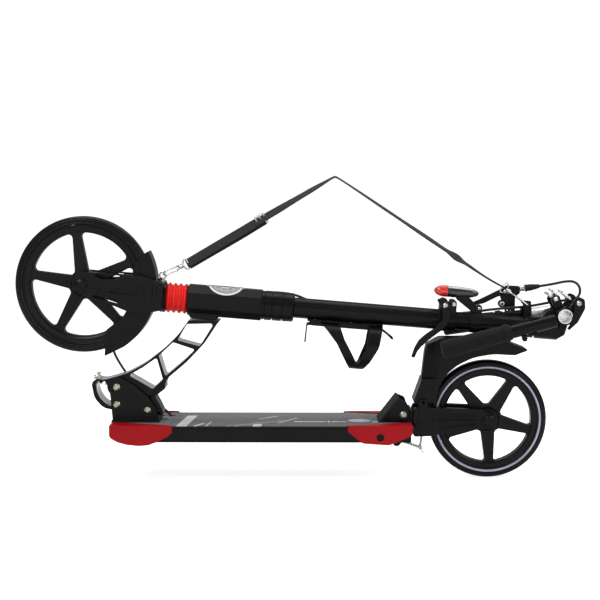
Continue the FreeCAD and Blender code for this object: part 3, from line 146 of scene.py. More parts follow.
class Finish:
    def __init__(self, name, **constants):
        self.material = bpy.data.materials.new(name)
        self.material.use_nodes = True
        self.tree = self.material.node_tree
        self.shader = self.tree.nodes["Principled BSDF"]
        self.place = self.node("ShaderNodeTexCoord", out="Object")
        self.set(**constants)

    def feed(self, socket, item):
        if isinstance(item, Value):
            self.tree.links.new(item.socket, socket)
        elif isinstance(item, tuple) and socket.type == "RGBA":
            socket.default_value = (*item, 1)
        else:
            socket.default_value = item

    def set(self, **inputs):
        for key, item in inputs.items():
            self.feed(self.shader.inputs[key.replace("_", " ")], item)

    def node(self, kind, settings=None, inputs=None, out=0):
        made = self.tree.nodes.new(kind)
        for key, item in (settings or {}).items():
            setattr(made, key, item)
        for key, item in (inputs or {}).items():
            self.feed(made.inputs[key], item)
        return Value(self.tree, made.outputs[out])

    def math(self, operation, value):
        return self.node("ShaderNodeMath", {"operation": operation}, {0: value})

    def noise(self, scale, detail=3.0):
        return self.node("ShaderNodeTexNoise", None, {"Vector": self.place, "Scale": scale, "Detail": detail})

    def ramp(self, value, low, high, start=0.0, end=1.0):
        return self.node("ShaderNodeMapRange", None, {0: value, 1: start, 2: end, 3: low, 4: high})

    def mix(self, factor, first, second):
        return self.node("ShaderNodeMix", {"data_type": "RGBA"}, {0: factor, 6: first, 7: second}, 2)

    def axis(self, letter, place=None):
        return self.node("ShaderNodeSeparateXYZ", None, {0: place or self.place}, letter)

    def bump(self, height, distance):
        self.set(Normal=self.node("ShaderNodeBump", None,
            {"Height": height, "Distance": distance, "Strength": 1.0}))


def speckled(finish, dark, light, scale, rough, grain, depth):
    # colour and gloss that drift over the surface, with a fine grain in the bump
    drift = finish.noise(scale, 4)
    finish.set(Base_Color=finish.mix(finish.ramp(drift, 0, 1, 0.3, 0.7), dark, light),
               Roughness=finish.ramp(drift, *rough, 0.3, 0.7))
    finish.bump(finish.noise(grain, 2), depth)
    return finish.material


# material and slot, base colours dark and light, size of the drift, roughness, size and depth of the grain,
# constants, the CAD nodes that wear it
finishTable = {
    "paint": ("satinBlackPaint", "black_paint", (0.0016, 0.0015, 0.0016), (0.0034, 0.0032, 0.0034), 9,
        (0.27, 0.38), 900, 0.00004,
        {"Specular_IOR_Level": 0.14, "Coat_Weight": 0.05, "Coat_Roughness": 0.16}, "deck_extrusion hinge_bracket "
        "rear_bracket cable_stop release_lever neck_frame head_tube stem_collar lower_tube height_clamp "
        "clamp_lever fork upper_tube tee_housing tee_lever_left tee_lever_right arm_bolts left_bar_tube "
        "right_bar_tube brake_body brake_blade headset_bearings steerer_tube"),
    "plastic": ("mouldedBlackPlastic", "black_plastic", (0.0018, 0.0017, 0.0018), (0.004, 0.0038, 0.004), 14,
        (0.28, 0.42), 1400, 0.00006,
        {"Specular_IOR_Level": 0.16}, "bottle_cage front_fender front_rim rear_rim bar_clip left_arm right_arm "
        "rear_fender fork_fasteners"),
    "gloss": ("glossBlackPlastic", "gloss_black", (0.004, 0.004, 0.005), (0.007, 0.007, 0.008), 10,
        (0.20, 0.28), 500, 0.00002,
        {"Coat_Weight": 0.8, "Coat_Roughness": 0.08}, "light_housing"),
    "red": ("mouldedRedPlastic", "red_plastic", (0.30, 0.002, 0.005), (0.38, 0.004, 0.008), 12, (0.36, 0.48),
        1200, 0.00006,
        {"Specular_IOR_Level": 0.16}, "front_bumpers rear_bumpers"),
    "redRubber": ("redRubber", "red_rubber", (0.66, 0.010, 0.008), (0.78, 0.018, 0.013), 20, (0.38, 0.5), 900,
        0.00005,
        {"Specular_IOR_Level": 0.35}, "bellows"),
    "lens": ("redLens", "red_lens", (0.78, 0.02, 0.012), (0.88, 0.035, 0.02), 30, (0.12, 0.18), 300, 0.0001,
        {"Coat_Weight": 1.0, "Coat_Roughness": 0.03, "Transmission_Weight": 0.2}, "light_lens"),
    "tyre": ("blackTyre", "tyre_black", (0.0014, 0.0014, 0.0015), (0.003, 0.0029, 0.003), 7, (0.24, 0.34), 700,
        0.00005,
        {"Specular_IOR_Level": 0.16, "Coat_Weight": 0.12, "Coat_Roughness": 0.1}, "front_tyre rear_tyre"),
    "foam": ("blackFoam", "foam_black", (0.003, 0.0028, 0.003), (0.008, 0.0076, 0.008), 60, (0.75, 0.9), 1600,
        0.0003,
        {"Specular_IOR_Level": 0.2, "Sheen_Weight": 0.06}, "left_grip right_grip"),
    "cable": ("cableCasing", "cable_black", (0.006, 0.006, 0.007), (0.011, 0.011, 0.012), 30, (0.28, 0.4), 800,
        0.00003,
        {"Specular_IOR_Level": 0.4}, "brake_cable"),
    "steel": ("brightSteel", "bright_steel", (0.46, 0.45, 0.45), (0.66, 0.65, 0.64), 60, (0.14, 0.26), 1500,
        0.00003,
        {"Metallic": 1.0}, "stem_screws front_hook front_bearings tee_bolt rear_hook cable_adjuster rear_bearings"),
    "dullSteel": ("plainSteel", "spring_steel", (0.34, 0.33, 0.32), (0.48, 0.47, 0.46), 50, (0.30, 0.44), 1500,
        0.00004,
        {"Metallic": 1.0}, "fork_spring brake_arm brake_spring"),
    "aluminium": ("machinedAluminium", "bare_aluminium", (0.80, 0.80, 0.81), (0.90, 0.90, 0.91), 25,
        (0.30, 0.42), 1300, 0.00005,
        {"Metallic": 1.0}, ""),
    "zinc": ("zincPlate", "bright_steel", (0.42, 0.38, 0.31), (0.56, 0.51, 0.43), 80, (0.22, 0.36), 1300, 0.00003,
        {"Metallic": 1.0}, "deck_bolts"),
    "brass": ("brassButton", "brass", (0.78, 0.42, 0.16), (0.90, 0.52, 0.22), 70, (0.18, 0.3), 1200, 0.00003,
        {"Metallic": 1.0}, "left_button right_button"),
    "badge": ("plainBadgeAndPaintedHighlight", "badge_white", (0.62, 0.62, 0.63), (0.74, 0.74, 0.75), 40, (0.25, 0.35), 900, 0.00003,
        {"Coat_Weight": 0.6}, "head_badge"),
    "damper": ("denseRubber", "damper_rubber", (0.008, 0.008, 0.008), (0.015, 0.015, 0.015), 30, (0.6, 0.75),
        900, 0.0001,
        {"Specular_IOR_Level": 0.25}, "rear_damper"),
    "webbing": ("webbing", "webbing_black", (0.006, 0.006, 0.007), (0.014, 0.014, 0.015), 300, (0.6, 0.8), 1500,
        0.0002,
        {"Specular_IOR_Level": 0.2, "Sheen_Weight": 0.1}, "strap"),
    "rim": ("satinBlackRim", "black_plastic", (0.0015, 0.0015, 0.0016), (0.0034, 0.0033, 0.0034), 14,
        (0.28, 0.4), 1400, 0.00004,
        {"Specular_IOR_Level": 0.16, "Coat_Weight": 0.05, "Coat_Roughness": 0.1}, ""),
}
finishes, finishSlots = {}, {}


def addFinish(key, slot, material):
    finishes[key] = material
    finishSlots[key] = slot


def dress(node, key):
    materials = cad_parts[node].data.materials
    materials.clear()
    materials.append(finishes[key])


for key, (name, slot, dark, light, *grain, constants, nodes) in finishTable.items():
    addFinish(key, slot, speckled(Finish(name, **constants), dark, light, *grain))
    for node in nodes.split():
        dress(node, key)
addFinish("steelPaint", "black_steel", finishes["paint"])
print("finishes: %d on %d nodes" % (len(finishes), len(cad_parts)))


# shaping tools: sizes in mm, flat outlines in the XZ plane
def deselect():
    if bpy.context.mode != "OBJECT":
        bpy.ops.object.mode_set(mode="OBJECT")
    bpy.ops.object.select_all(action="DESELECT")


def pickOnly(shape):
    deselect()
    shape.select_set(True)
    bpy.context.view_layer.objects.active = shape


def chooseVertices(test):
    bpy.ops.mesh.select_all(action="DESELECT")
    edit = bmesh.from_edit_mesh(bpy.context.object.data)
    for vertex in edit.verts:
        vertex.select_set(test(vertex))
    edit.select_flush(True)
    bmesh.update_edit_mesh(bpy.context.object.data)


rounded = {"flattest": 176, "share": 0.48, "step": 9, "most": 8}      # degrees, part of an edge, degrees, pieces


def drawOutline(corners, depth=0.0):
    # each corner is (x, z), or (x, z, rounding)
    deselect()
    bpy.ops.mesh.primitive_circle_add(vertices=len(corners), radius=0.02, fill_type="NGON")
    bpy.ops.object.mode_set(mode="EDIT")
    places = [Vector((corner[0] * mm, depth * mm, corner[1] * mm)) for corner in corners]
    for index, place in enumerate(places):
        chooseVertices(lambda vertex: vertex.index == index)
        edit = bmesh.from_edit_mesh(bpy.context.object.data)
        edit.verts.ensure_lookup_table()
        bpy.ops.transform.translate(value=place - edit.verts[index].co)
    for index, corner in enumerate(corners):
        if len(corner) < 3:
            continue
        here = places[index]
        back, ahead = places[index - 1] - here, places[(index + 1) % len(places)] - here
        opening = back.angle(ahead)
        if opening > radians(rounded["flattest"]):
            continue
        reach = min(corner[2] * mm / tan(opening / 2), rounded["share"] * min(back.length, ahead.length))
        pieces = round((pi - opening) / radians(rounded["step"]))
        chooseVertices(lambda vertex: (vertex.co - here).length < 1e-6)
        bpy.ops.mesh.bevel(offset=reach, affect="VERTICES", segments=max(2, min(rounded["most"], pieces)))
    return bpy.context.object


def faceOut():
    bpy.ops.mesh.select_all(action="SELECT")
    bpy.ops.mesh.normals_make_consistent(inside=False)
    deselect()


def closeUp(shape, merge=0.002):
    # merges what meets, drops loose wire and turns the faces outwards
    pickOnly(shape)
    bpy.ops.object.mode_set(mode="EDIT")
    bpy.ops.mesh.select_all(action="SELECT")
    bpy.ops.mesh.remove_doubles(threshold=merge * mm)
    bpy.ops.mesh.delete_loose(use_verts=True, use_edges=True, use_faces=False)
    faceOut()
    return shape


def box(x0, z0, x1, z1, *rounding):
    return [(x, z, *rounding) for x, z in ((x0, z0), (x1, z0), (x1, z1), (x0, z1))]


def ringOf(radius, steps):
    return [(radius * cos(radians(a)), radius * sin(radians(a))) for a in steps]


def plate(corners, near, far):
    # an outline drawn out along Y
    near, far = sorted((near, far))
    shape = drawOutline(corners, near)
    bpy.ops.mesh.select_all(action="SELECT")
    bpy.ops.mesh.extrude_region_move(TRANSFORM_OT_translate={"value": (0, (far - near) * mm, 0)})
    return closeUp(shape)


def turned(profile, steps=72):
    # a profile of (along X, radius, rounding) spun about the X axis
    shape = drawOutline(profile)
    bpy.ops.mesh.select_all(action="SELECT")
    bpy.ops.mesh.delete(type="ONLY_FACE")
    bpy.ops.mesh.select_all(action="SELECT")
    bpy.ops.mesh.spin(steps=steps, angle=2 * pi, center=(0, 0, 0), axis=(1, 0, 0))
    return closeUp(shape)


def placeAt(shape, matrix):
    pickOnly(shape)
    shape.matrix_world = matrix
    bpy.ops.object.transform_apply(location=True, rotation=True, scale=True)
    return shape


def shifted(x=0.0, y=0.0, z=0.0):
    return Matrix.Translation((x * mm, y * mm, z * mm))


def sideways(x, z, y=0.0, out=1):
    # turns a piece's X axis to point along +Y (out = 1) or -Y (out = -1)
    return shifted(x, y, z) @ Matrix.Rotation(out * pi / 2, 4, "Z")


def upright(x=0.0, z=0.0):
    return shifted(x, 0, z) @ Matrix.Rotation(-pi / 2, 4, "Y")


flatDown = Matrix.Rotation(-pi / 2, 4, "X")      # an outline's Z runs along Y, its depth down


def alongLine(start, end):
    direction = (Vector(end) - Vector(start)) * mm
    return Matrix.Translation(Vector(start) * mm) @ direction.to_track_quat("X", "Z").to_matrix().to_4x4()


def withModifier(shape, kind, **settings):
    pickOnly(shape)
    bpy.ops.object.modifier_add(type=kind)
    modifier = shape.modifiers[-1]
    for key, item in settings.items():
        setattr(modifier, key, item)
    bpy.ops.object.modifier_apply(modifier=modifier.name)
    return shape


def shapeWith(shape, tool, operation="DIFFERENCE"):
    withModifier(shape, "BOOLEAN", operation=operation, object=tool, solver="EXACT")
    bpy.data.objects.remove(tool)
    return shape


def cutWith(shape, *tools):
    for tool in tools:
        shapeWith(shape, tool)
    return shape


def softenEdges(shape, width, segments=2, angle=30):
    return withModifier(shape, "BEVEL", width=width * mm, segments=segments, limit_method="ANGLE",
                        angle_limit=radians(angle), use_clamp_overlap=True)


def softPlate(corners, near, far, width, segments=3):
    return softenEdges(plate(corners, near, far), width, segments)


def cylinder(low, high, radius, steps=24):
    # a plain one along X, for cutting
    return turned([(low, 0), (low, radius), (high, radius), (high, 0)], steps)


def drill(point, radius, steps=24, low=-60, high=60, out=1):
    # a plain cylinder along Y through a point of the drawing plane
    return placeAt(cylinder(low, high, radius, steps), sideways(*point, out=out))


def sleeve(low, high, bore, radius, steps=72):
    return turned([(low, bore), (low, radius, 1), (high, radius, 1), (high, bore)], steps)


def joined(*shapes):
    deselect()
    for shape in shapes:
        shape.select_set(True)
    bpy.context.view_layer.objects.active = shapes[0]
    bpy.ops.object.join()
    return shapes[0]


def mirrored(shape):
    pickOnly(shape)
    bpy.ops.object.duplicate(linked=False)
    return closeUp(placeAt(bpy.context.object, Matrix.Scale(-1, 4, (0, 1, 0))), 0.0001)


def drawnLine(name, points, resolution=6, closed=False, kind="NURBS"):
    line = bpy.data.curves.new(name, "CURVE")
    line.dimensions = "3D"
    line.resolution_u = resolution
    spline = line.splines.new(kind)
    spline.points.add(len(points) - 1)
    for knot, point in zip(spline.points, points):
        knot.co = (*point, 1)
    spline.order_u = 3
    spline.use_cyclic_u = closed
    spline.use_endpoint_u = not closed
    holder = bpy.data.objects.new(name, line)
    bpy.context.collection.objects.link(holder)
    return holder


def thickened(holder, radius, fineness, capped, merge):
    # gives a drawn line a round section and makes a mesh of it
    line = holder.data
    line.bevel_depth = radius * mm
    line.bevel_resolution = fineness
    line.use_fill_caps = capped
    pickOnly(holder)
    bpy.ops.object.convert(target="MESH")
    return closeUp(bpy.context.object, merge)


def wire(points, radius, closed=False, fineness=2):
    # a round wire along a smooth line of points
    line = drawnLine("wire", [Vector(point) * mm for point in points], closed=closed)
    return thickened(line, radius, fineness, not closed, 0.0005)


def rod(start, end, radius, rounding=0.4, bore=0.0, steps=32):
    # a rod or tube between two points
    length = (Vector(end) - Vector(start)).length
    profile = [(0, bore), (0, radius, rounding), (length, radius, rounding), (length, bore)]
    return placeAt(turned(profile, steps), alongLine(start, end))


def pin(point, near, far, radius, *more):
    # a rod along Y through a point of the drawing plane
    x, z = point
    return rod((x, near, z), (x, far, z), radius, *more)


def bolt(point, face, out=1, size=5.0, height=3.4, socket=2.4):
    # a button head with a hexagon socket, seated on a face that looks along Y
    head = turned([(0, 0), (0, size, 0.3), (height * 0.5, size * 0.95, 1), (height, size * 0.55, 0.5),
        (height, 0)], 32)
    hexagon = plate(ringOf(socket, range(0, 360, 60)), height * 0.4, 20)
    cutWith(head, placeAt(hexagon, Matrix.Rotation(-pi / 2, 4, "Z")))
    return placeAt(head, sideways(*point, face * out, out))


def paintFaces(shape, finish, back, test):
    # a second finish on the faces that pass a test of their middle and direction
    shape.data.materials.append(finishes[finish])
    back = back @ shape.matrix_world
    for face in shape.data.polygons:
        face.material_index = int(test((back @ face.center) / mm, back.to_3x3() @ face.normal))


def complete(shape, place, name, body, finish, nodes=(), angle=32):
    if place:
        placeAt(shape, place)
    pickOnly(shape)
    bpy.ops.object.shade_smooth_by_angle(angle=radians(angle))
    withModifier(shape, "WEIGHTED_NORMAL", keep_sharp=True)
    shape.name = name
    shape.data.name = name
    shape.data.materials.clear()
    shape.data.materials.append(finishes[finish])
    if nodes:
        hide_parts(*nodes)
    if body:
        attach(shape, body)
    return shape


# wheels: the tyre and the rim's barrel are turned, the spokes are a plate with windows
wheelShape = {
    "tyreDepth": 14, "steps": 144, "spokes": 5, "bore": 15, "lap": 3, "stripe": (87.9, 3.4),
    "rimShares": (0, 0.2, 0.4, 0.6, 0.8, 1), "rimRoundings": (9, 60, 60, 60, 60, 9),
    "hubShares": (0.72, 0.28), "hubRoundings": (5, 5),
    "tyreSide": ((12.3, 0.1), (14.1, 1.0, 0.6), (14.4, 3.4, 0.5), (13.5, 4.0, 0.3), (13.5, 4.8, 0.3),
                 (14.3, 5.4, 0.5), (13.9, 8.0, 0.6), (12.9, 8.5, 0.3), (12.9, 9.1, 0.3), (13.0, 9.6, 0.8),
                 (10.6, 12.6, 5), (6.0, 13.8, 14)),
    "barrelSide": ((9.2, -12.4, 1.2), (10.6, -9.5, 1), (11.2, -3.0, 1), (12.4, -1.8, 0.6), (12.5, -0.1)),
    "spokeHalf": 8.2, "spokeWidth": 14.0, "hubEdge": 25.0,
    "hub": ((-14.4, 11.1), (-14.4, 17.4, 1.5), (-9.0, 20.5, 3), (9.0, 20.5, 3), (14.4, 17.4, 1.5), (14.4, 11.1)),
}
wheels = (
    {"body": "front_wheel", "frame": stemFrame, "axle": layout["frontAxle"], "radius": 115, "turn": 29.6,
     "nodes": ("front_tyre", "front_rim"), "names": ("frontTyre", "frontRim"), "finish": "tyre", "ring": 12.3},
    {"body": "rear_wheel", "frame": scooterFrame, "axle": layout["rearAxle"], "radius": 100, "turn": 57,
     "nodes": ("rear_tyre", "rear_rim"), "names": ("rearTyre", "rearRim"), "finish": "rearTyre", "ring": 10.3},
)


def bothSides(wall, seat, side):
    # one half of a profile and its mirror image, raised to the rim's seat
    wall = [(side * y, seat + up, *more) for y, up, *more in wall]
    return wall + [(-y, r, *more) for y, r, *more in reversed(wall)]


def makeWheel(wheel):
    s, body = wheelShape, wheel["body"]
    seat, inside = wheel["radius"] - s["tyreDepth"], wheel["radius"] - s["tyreDepth"] - wheel["ring"]
    tyre = turned(bothSides(s["tyreSide"], seat, -1), s["steps"])
    tyreName, rimName = wheel["names"]
    tyreNode, rimNode = wheel["nodes"]
    complete(tyre, wheel["frame"] @ sideways(*wheel["axle"]), tyreName, body, wheel["finish"], (tyreNode,))

    barrel = turned(bothSides(s["barrelSide"], seat, 1), s["steps"])
    hub = turned(s["hub"], 72)
    half, between = s["spokeWidth"] / 2, 360 / s["spokes"]
    disc = plate(ringOf(inside + s["lap"], range(0, 360, 4)), -s["spokeHalf"], s["spokeHalf"])
    for i in range(s["spokes"]):
        window = []
        for radius, shares, roundings in ((inside - 1, s["rimShares"], s["rimRoundings"]),
                                          (s["hubEdge"], s["hubShares"], s["hubRoundings"])):
            edge = degrees(half / radius)
            for share, rounding in zip(shares, roundings):
                at = radians(wheel["turn"] + between * i + edge + (between - 2 * edge) * share)
                window.append((radius * cos(at), radius * sin(at), rounding))
        cutWith(disc, plate(window, -30, 30))
    cutWith(disc, drill((0, 0), s["bore"], 48, -30, 30))
    softenEdges(disc, 1.1, 3)
    placeAt(barrel, sideways(0, 0))
    placeAt(hub, sideways(0, 0))
    x, z = wheel["axle"]
    complete(joined(disc, barrel, hub), wheel["frame"] @ shifted(x, 0, z), rimName, body, "rim", (rimNode,))


def stripedTyre(axle, radius, width):
    # a pale line printed round both sidewalls
    finish = Finish("stripedTyre", Specular_IOR_Level=0.16, Coat_Weight=0.12, Coat_Roughness=0.1)
    middle = inScooter((axle[0], 0, axle[1]))
    x, z = finish.axis(0) - middle.x, finish.axis(2) - middle.z
    reach = (x * x + z * z) ** 0.5
    line = (reach > (radius - width / 2) * mm) * (reach < (radius + width / 2) * mm)
    wear = finish.ramp(finish.noise(40, 3), 0.75, 1, 0.3, 0.6)
    black = finish.mix(finish.noise(7, 4), (0.0014, 0.0014, 0.0015), (0.003, 0.0029, 0.003))
    finish.set(Base_Color=finish.mix(line * wear, black, (0.42, 0.45, 0.58)),
               Roughness=finish.ramp(finish.noise(9, 3), 0.24, 0.36))
    finish.bump(finish.noise(700, 2), 0.00005)
    return finish.material


addFinish("rearTyre", "tyre_black", stripedTyre(layout["rearAxle"], *wheelShape["stripe"]))
for wheel in wheels:
    makeWheel(wheel)
print("wheels done")

# fork: two legs with slots and a framed hollow, the crown and the sliding rod
fork = {
    "inner": 21, "outer": 34, "axleHole": 4.1,
    "collar": ((-236, 0), (-236, 25.3, 1), (-226.6, 25.3, 1), (-226.6, 0)),
    "slider": ((-240, 0), (-240, 12.8), (-70, 12.8, 1), (-70, 0)),
    "leg": ((-230, 26, 6), (-270, 35, 40), (-373, 34, 12), (-384, 17, 14), (-375, -1, 12), (-348, -9, 8),
            (-309, -19, 10), (-288, -26, 10), (-252, -26, 6), (-230, -20, 6)),
    "slots": (((-346, 28, 1.5), (-343, 32, 1.5), (-304, 32.5, 1.5), (-303, 27, 1.5), (-330, 24, 3)),
              ((-345, -3, 1.5), (-346, -7, 2), (-306, -15, 2), (-302, -10, 2))),
    "hollow": ((-326, 4, 2), (-270, 19, 3), (-266, 3, 3), (-300, 1, 8)),
    "frameRim": ((-335, 1.5, 4), (-268, 23.5, 5), (-261, 1, 5), (-300, -2.5, 9)),
    "pad": ((-262, 23, 3), (-234, 21, 3), (-234, -6, 3), (-262, -4, 3)),
    "crown": ((-248, 26, 2), (-230, 26, 2), (-230, -20, 2), (-248, -20, 2)),
}


def makeFork():
    inner, outer = fork["inner"], fork["outer"]
    leg = plate(fork["leg"], inner, outer - 0.8)
    for slot in fork["slots"]:
        cutWith(leg, plate(slot, 10, 50))
    raised = plate(fork["frameRim"], outer - 5, outer)
    cutWith(raised, plate(fork["hollow"], 10, 50))
    cutWith(leg, plate(fork["hollow"], outer - 6, 50), plate(fork["pad"], outer - 1.8, 50),
            drill(layout["frontAxle"], fork["axleHole"], 32, 10))
    leg = joined(softenEdges(leg, 1.2, 3), softenEdges(raised, 0.6, 2))
    whole = joined(leg, mirrored(leg), softPlate(fork["crown"], 1 - outer, outer - 1, 1.5),
        turned(fork["collar"], 64),
                   turned(fork["slider"], 48))
    complete(whole, stemFrame, "forkLegs", "fork", "paint", ("fork",))


makeFork()

# front mudguard: a skirted block cut by two discs round the wheel, with crescent grooves
frontGuard = {
    "half": 20.5, "wall": 2.5, "inner": 121, "outer": 125,
    "skirt": ((-284, 47, 3), (-268, 71, 4), (-259, 77, 4), (-235, 66, 4), (-238, 20, 30), (-243, -25, 20),
              (-257, -61, 30), (-279, -81, 30), (-321, -106, 1), (-322, -62, 6), (-292, -34, 30), (-283, 0, 40)),
    "grooves": (((-268, -30, 3), (-259, -45, 6), (-272, -62, 8), (-296, -76, 3), (-285, -58, 20), (-277, -44, 10)),
                ((-275, 50, 2), (-264, 68, 3), (-256, 70, 3), (-262, 48, 8), (-264, 30, 3), (-270, 33, 3))),
    "hole": (-271.4, 37.4),
}


def makeFrontGuard():
    half, axle, inner = frontGuard["half"], layout["frontAxle"], frontGuard["inner"]
    guard = plate(frontGuard["skirt"], -half, half)
    shapeWith(guard, drill(axle, frontGuard["outer"], 180), "INTERSECT")
    deep = half - frontGuard["wall"]
    cutWith(guard, placeAt(turned([(-deep, 0), (-deep, inner, 2), (deep, inner, 2), (deep, 0)], 180),
        sideways(*axle)))
    for side in (-1, 1):
        for groove in frontGuard["grooves"]:
            cutWith(guard, plate(groove, side * (half - 1.0), side * 40))
        cutWith(guard, drill(frontGuard["hole"], 2, 24, half - 1.5, 40, side))
    softenEdges(guard, 0.5, 2)
    complete(guard, stemFrame, "frontMudguard", "fork", "plastic", ("front_fender",))


makeFrontGuard()

# red gaiter with four ribs
gaiter = {"start": -226.1, "end": -189.4, "ribs": 4, "crest": 26.3, "root": 21.4, "bore": 18}


def makeGaiter():
    start, end, root, bore = gaiter["start"], gaiter["end"], gaiter["root"], gaiter["bore"]
    pitch = (end - start) / gaiter["ribs"]
    profile = [(start, bore)]
    for i in range(gaiter["ribs"]):
        at = start + pitch * i
        profile += [(at + 0.1, root, 1), (at + pitch * 0.5, gaiter["crest"], 1.6)]
    profile += [(end, root), (end, bore)]
    shape = complete(turned(profile, 96), stemFrame, "gaiter", None, "redRubber", ("bellows",), 60)
    start, end = stemFrame @ Vector((start * mm, 0, 0)), stemFrame @ Vector((end * mm, 0, 0))
    tuple(start)
    tuple(end)
    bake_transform(shape)


makeGaiter()
print("fork, mudguard and gaiter done")

# neck: an extruded ladder, black-painted on its sides; its inner and outer walls are given bare aluminium as a
# painted reflection of the lamps
neck = {
    "half": 21, "pivot": (-307.3, 156.5), "hidden": ((-262, 151), (-234, 172)),
    "bolt": (((0, 0), (0, 2.3), (8, 2.3), (8, 4.2, 0.5), (11, 4.2, 0.5), (11, 2.3), (14.5, 2.3), (14.5, 3.8, 0.5),
              (18, 3.4, 1), (18, 0)),
             ((0, 0), (0, 3.1, 0.6), (4, 3.1, 0.6), (4, 1.8), (9, 1.8), (9, 0))),
    "boltLines": (((-337.5, -3, 161), (-341.5, -3, 179)), ((-349, -5, 170), (-339, -5, 172))),
    "outline": ((-134, 268), (-139, 262, 30), (-160, 230, 60), (-190, 198, 120), (-223, 170, 20), (-227, 160, 3),
                (-226.5, 153, 3), (-241, 141.5, 4), (-262, 140, 8), (-283, 131, 8), (-291.3, 118.5, 7),
                    (-307.3, 115.5, 12),
                (-331.3, 119.5, 20), (-346.3, 136.5, 20), (-351.3, 162.5, 10), (-342.3, 169.5, 6),
                (-329.3, 167.5, 20), (-292, 178, 60), (-262, 194, 100), (-228, 220, 120), (-205, 243, 90),
                (-187, 268)),
    "windows": (((-288, 175.4, 3), (-263.5, 189, 60), (-240.8, 205.2, 3), (-230.6, 168, 3), (-247.8, 152.2, 3)),
                ((-237.2, 208.3, 3), (-213, 231.2, 3), (-175.6, 218.6, 3), (-194.6, 200.2, 60), (-226.4, 173.2, 3)),
                ((-206, 234.6, 3), (-190, 262, 4), (-144, 263, 4), (-168.4, 224.4, 3))),
    "slot": (17.5, 35.2, 172, 285, 14),       # radii, angles, pieces
    "notches": ((33, 166), (24, 160)),
    "head": ((-197, 25.7), (-57, 25.7), (-57, -25.7), (-197, -25.7)),
    "boss": ((-191.2, -20, 4), (-181.2, -31.2, 4), (-141.8, -31.2, 4), (-127.8, -20)),
}


def roundPivot(radius, angle):
    x, z = neck["pivot"]
    return (x + radius * cos(radians(angle)), z + radius * sin(radians(angle)))


# the faces of the inner and outer walls, which get the painted reflection in bare aluminium
def paintedReflectionWall(at, normal):
    painted = abs(normal.y) > 0.3 or any(at.x > x and at.z < z for x, z in neck["hidden"])
    return not painted


def makeNeck():
    half = neck["half"]
    shape = plate(neck["outline"], -half, half)
    for window in neck["windows"]:
        cutWith(shape, plate(window, -60, 60))
    inner, outer, first, last, pieces = neck["slot"]
    steps = [first + (last - first) * i / pieces for i in range(pieces + 1)]
    slot = [roundPivot(outer, a) for a in steps] + [roundPivot(inner, a) for a in reversed(steps)]
    cutWith(shape, plate(slot, -60, 60))
    for notch in neck["notches"]:
        x, z = roundPivot(*notch)
        cutWith(shape, plate(((x - 5, z - 5), (x, z + 1.5, 1), (x + 5, z - 5)), -60, 60))
    toScooter = scooterFrame.inverted() @ stemFrame
    cutWith(shape, placeAt(plate(neck["head"], -27, 27), toScooter),
            placeAt(plate(neck["boss"], -17.2, 17.2), toScooter), drill(neck["pivot"], 5, 32))
    softenEdges(shape, 0.5, 2, 45)
    complete(shape, scooterFrame, "neckLadder", "neck", "paint", ("neck_frame",))
    # painted reflection: the walls take bare aluminium in place of the lamps' reflection on the black paint
    paintFaces(shape, "aluminium", scooterFrame.inverted(), paintedReflectionWall)
    bolts = [placeAt(turned(profile, 24), alongLine(*line)) for profile,
        line in zip(neck["bolt"], neck["boltLines"])]
    complete(joined(*bolts), scooterFrame, "neckStopBolt", "neck", "zinc")


makeNeck()
print("neck done")

# deck: gritty tape with generic slanted stripes, corner guards, hinge cheeks
tape = {
    "stripes": (      # x from and to, y from and to, lean along y
        (-204, -187, -75, 34, 0.10), (-176, -170, -75, -44, 0.5),
        (-156, -153.5, -75, -28, 0.14), (-153, -149, 8, 44, -0.9),
        (-137, -132, -2, 30, 0.95), (-121, -118.5, -75, -12, 1.55), (-107, -104.5, -75, -12, 1.55),
        (-78, -64, -75, -50, 0.1), (-56, -52, -40, 10, 0.6), (-10, 44, -30, -22, 0.0), (47, 50, -34, -18, 0.0),
        (53, 78, -30, -22, 0.0), (122, 150, -30, -22, 0.0)),
    "oval": (100, -14, 19, 15), "leanFrom": 70,
}


def gripTape():
    finish = Finish("gripTape", Specular_IOR_Level=0.3)
    x, y = finish.axis(0) - layout["centring"] * mm, finish.axis(1)
    mask = 0
    for low, high, near, far, lean in tape["stripes"]:
        across = x - (y + tape["leanFrom"] * mm) * lean
        stripe = (across > low * mm) * (across < high * mm) * (y > near * mm) * (y < far * mm)
        mask = stripe + mask
    cx, cy, rx, ry = tape["oval"]
    u, v = (x - cx * mm) / (rx * mm), (y - cy * mm) / (ry * mm)
    oval = (u * u + v * v) < 1.0
    grit = finish.noise(1100, 2)
    coarse = finish.ramp(finish.noise(420, 2), 0.75, 1.25, 0.3, 0.7)
    grey = finish.mix(finish.ramp(grit, 0, 1, 0.32, 0.68) * coarse, (0.030, 0.032, 0.034), (0.30, 0.31, 0.32))
    cream = finish.mix(finish.ramp(grit, 0, 1, 0.2, 0.6), (0.42, 0.41, 0.38), (0.74, 0.73, 0.70))
    lilac = finish.mix(finish.ramp(grit, 0, 1, 0.2, 0.6), (0.40, 0.41, 0.50), (0.62, 0.63, 0.74))
    worn = finish.ramp(finish.noise(60, 4), 0.55, 1.0, 0.32, 0.45)
    base = finish.mix(mask * worn, grey, cream)
    finish.set(Base_Color=finish.mix(oval * worn, base, lilac), Roughness=finish.ramp(grit, 0.7, 0.95))
    finish.bump(grit, 0.0004)
    return finish.material


addFinish("grit", "grip_grey", gripTape())
dress("grip_tape", "grit")

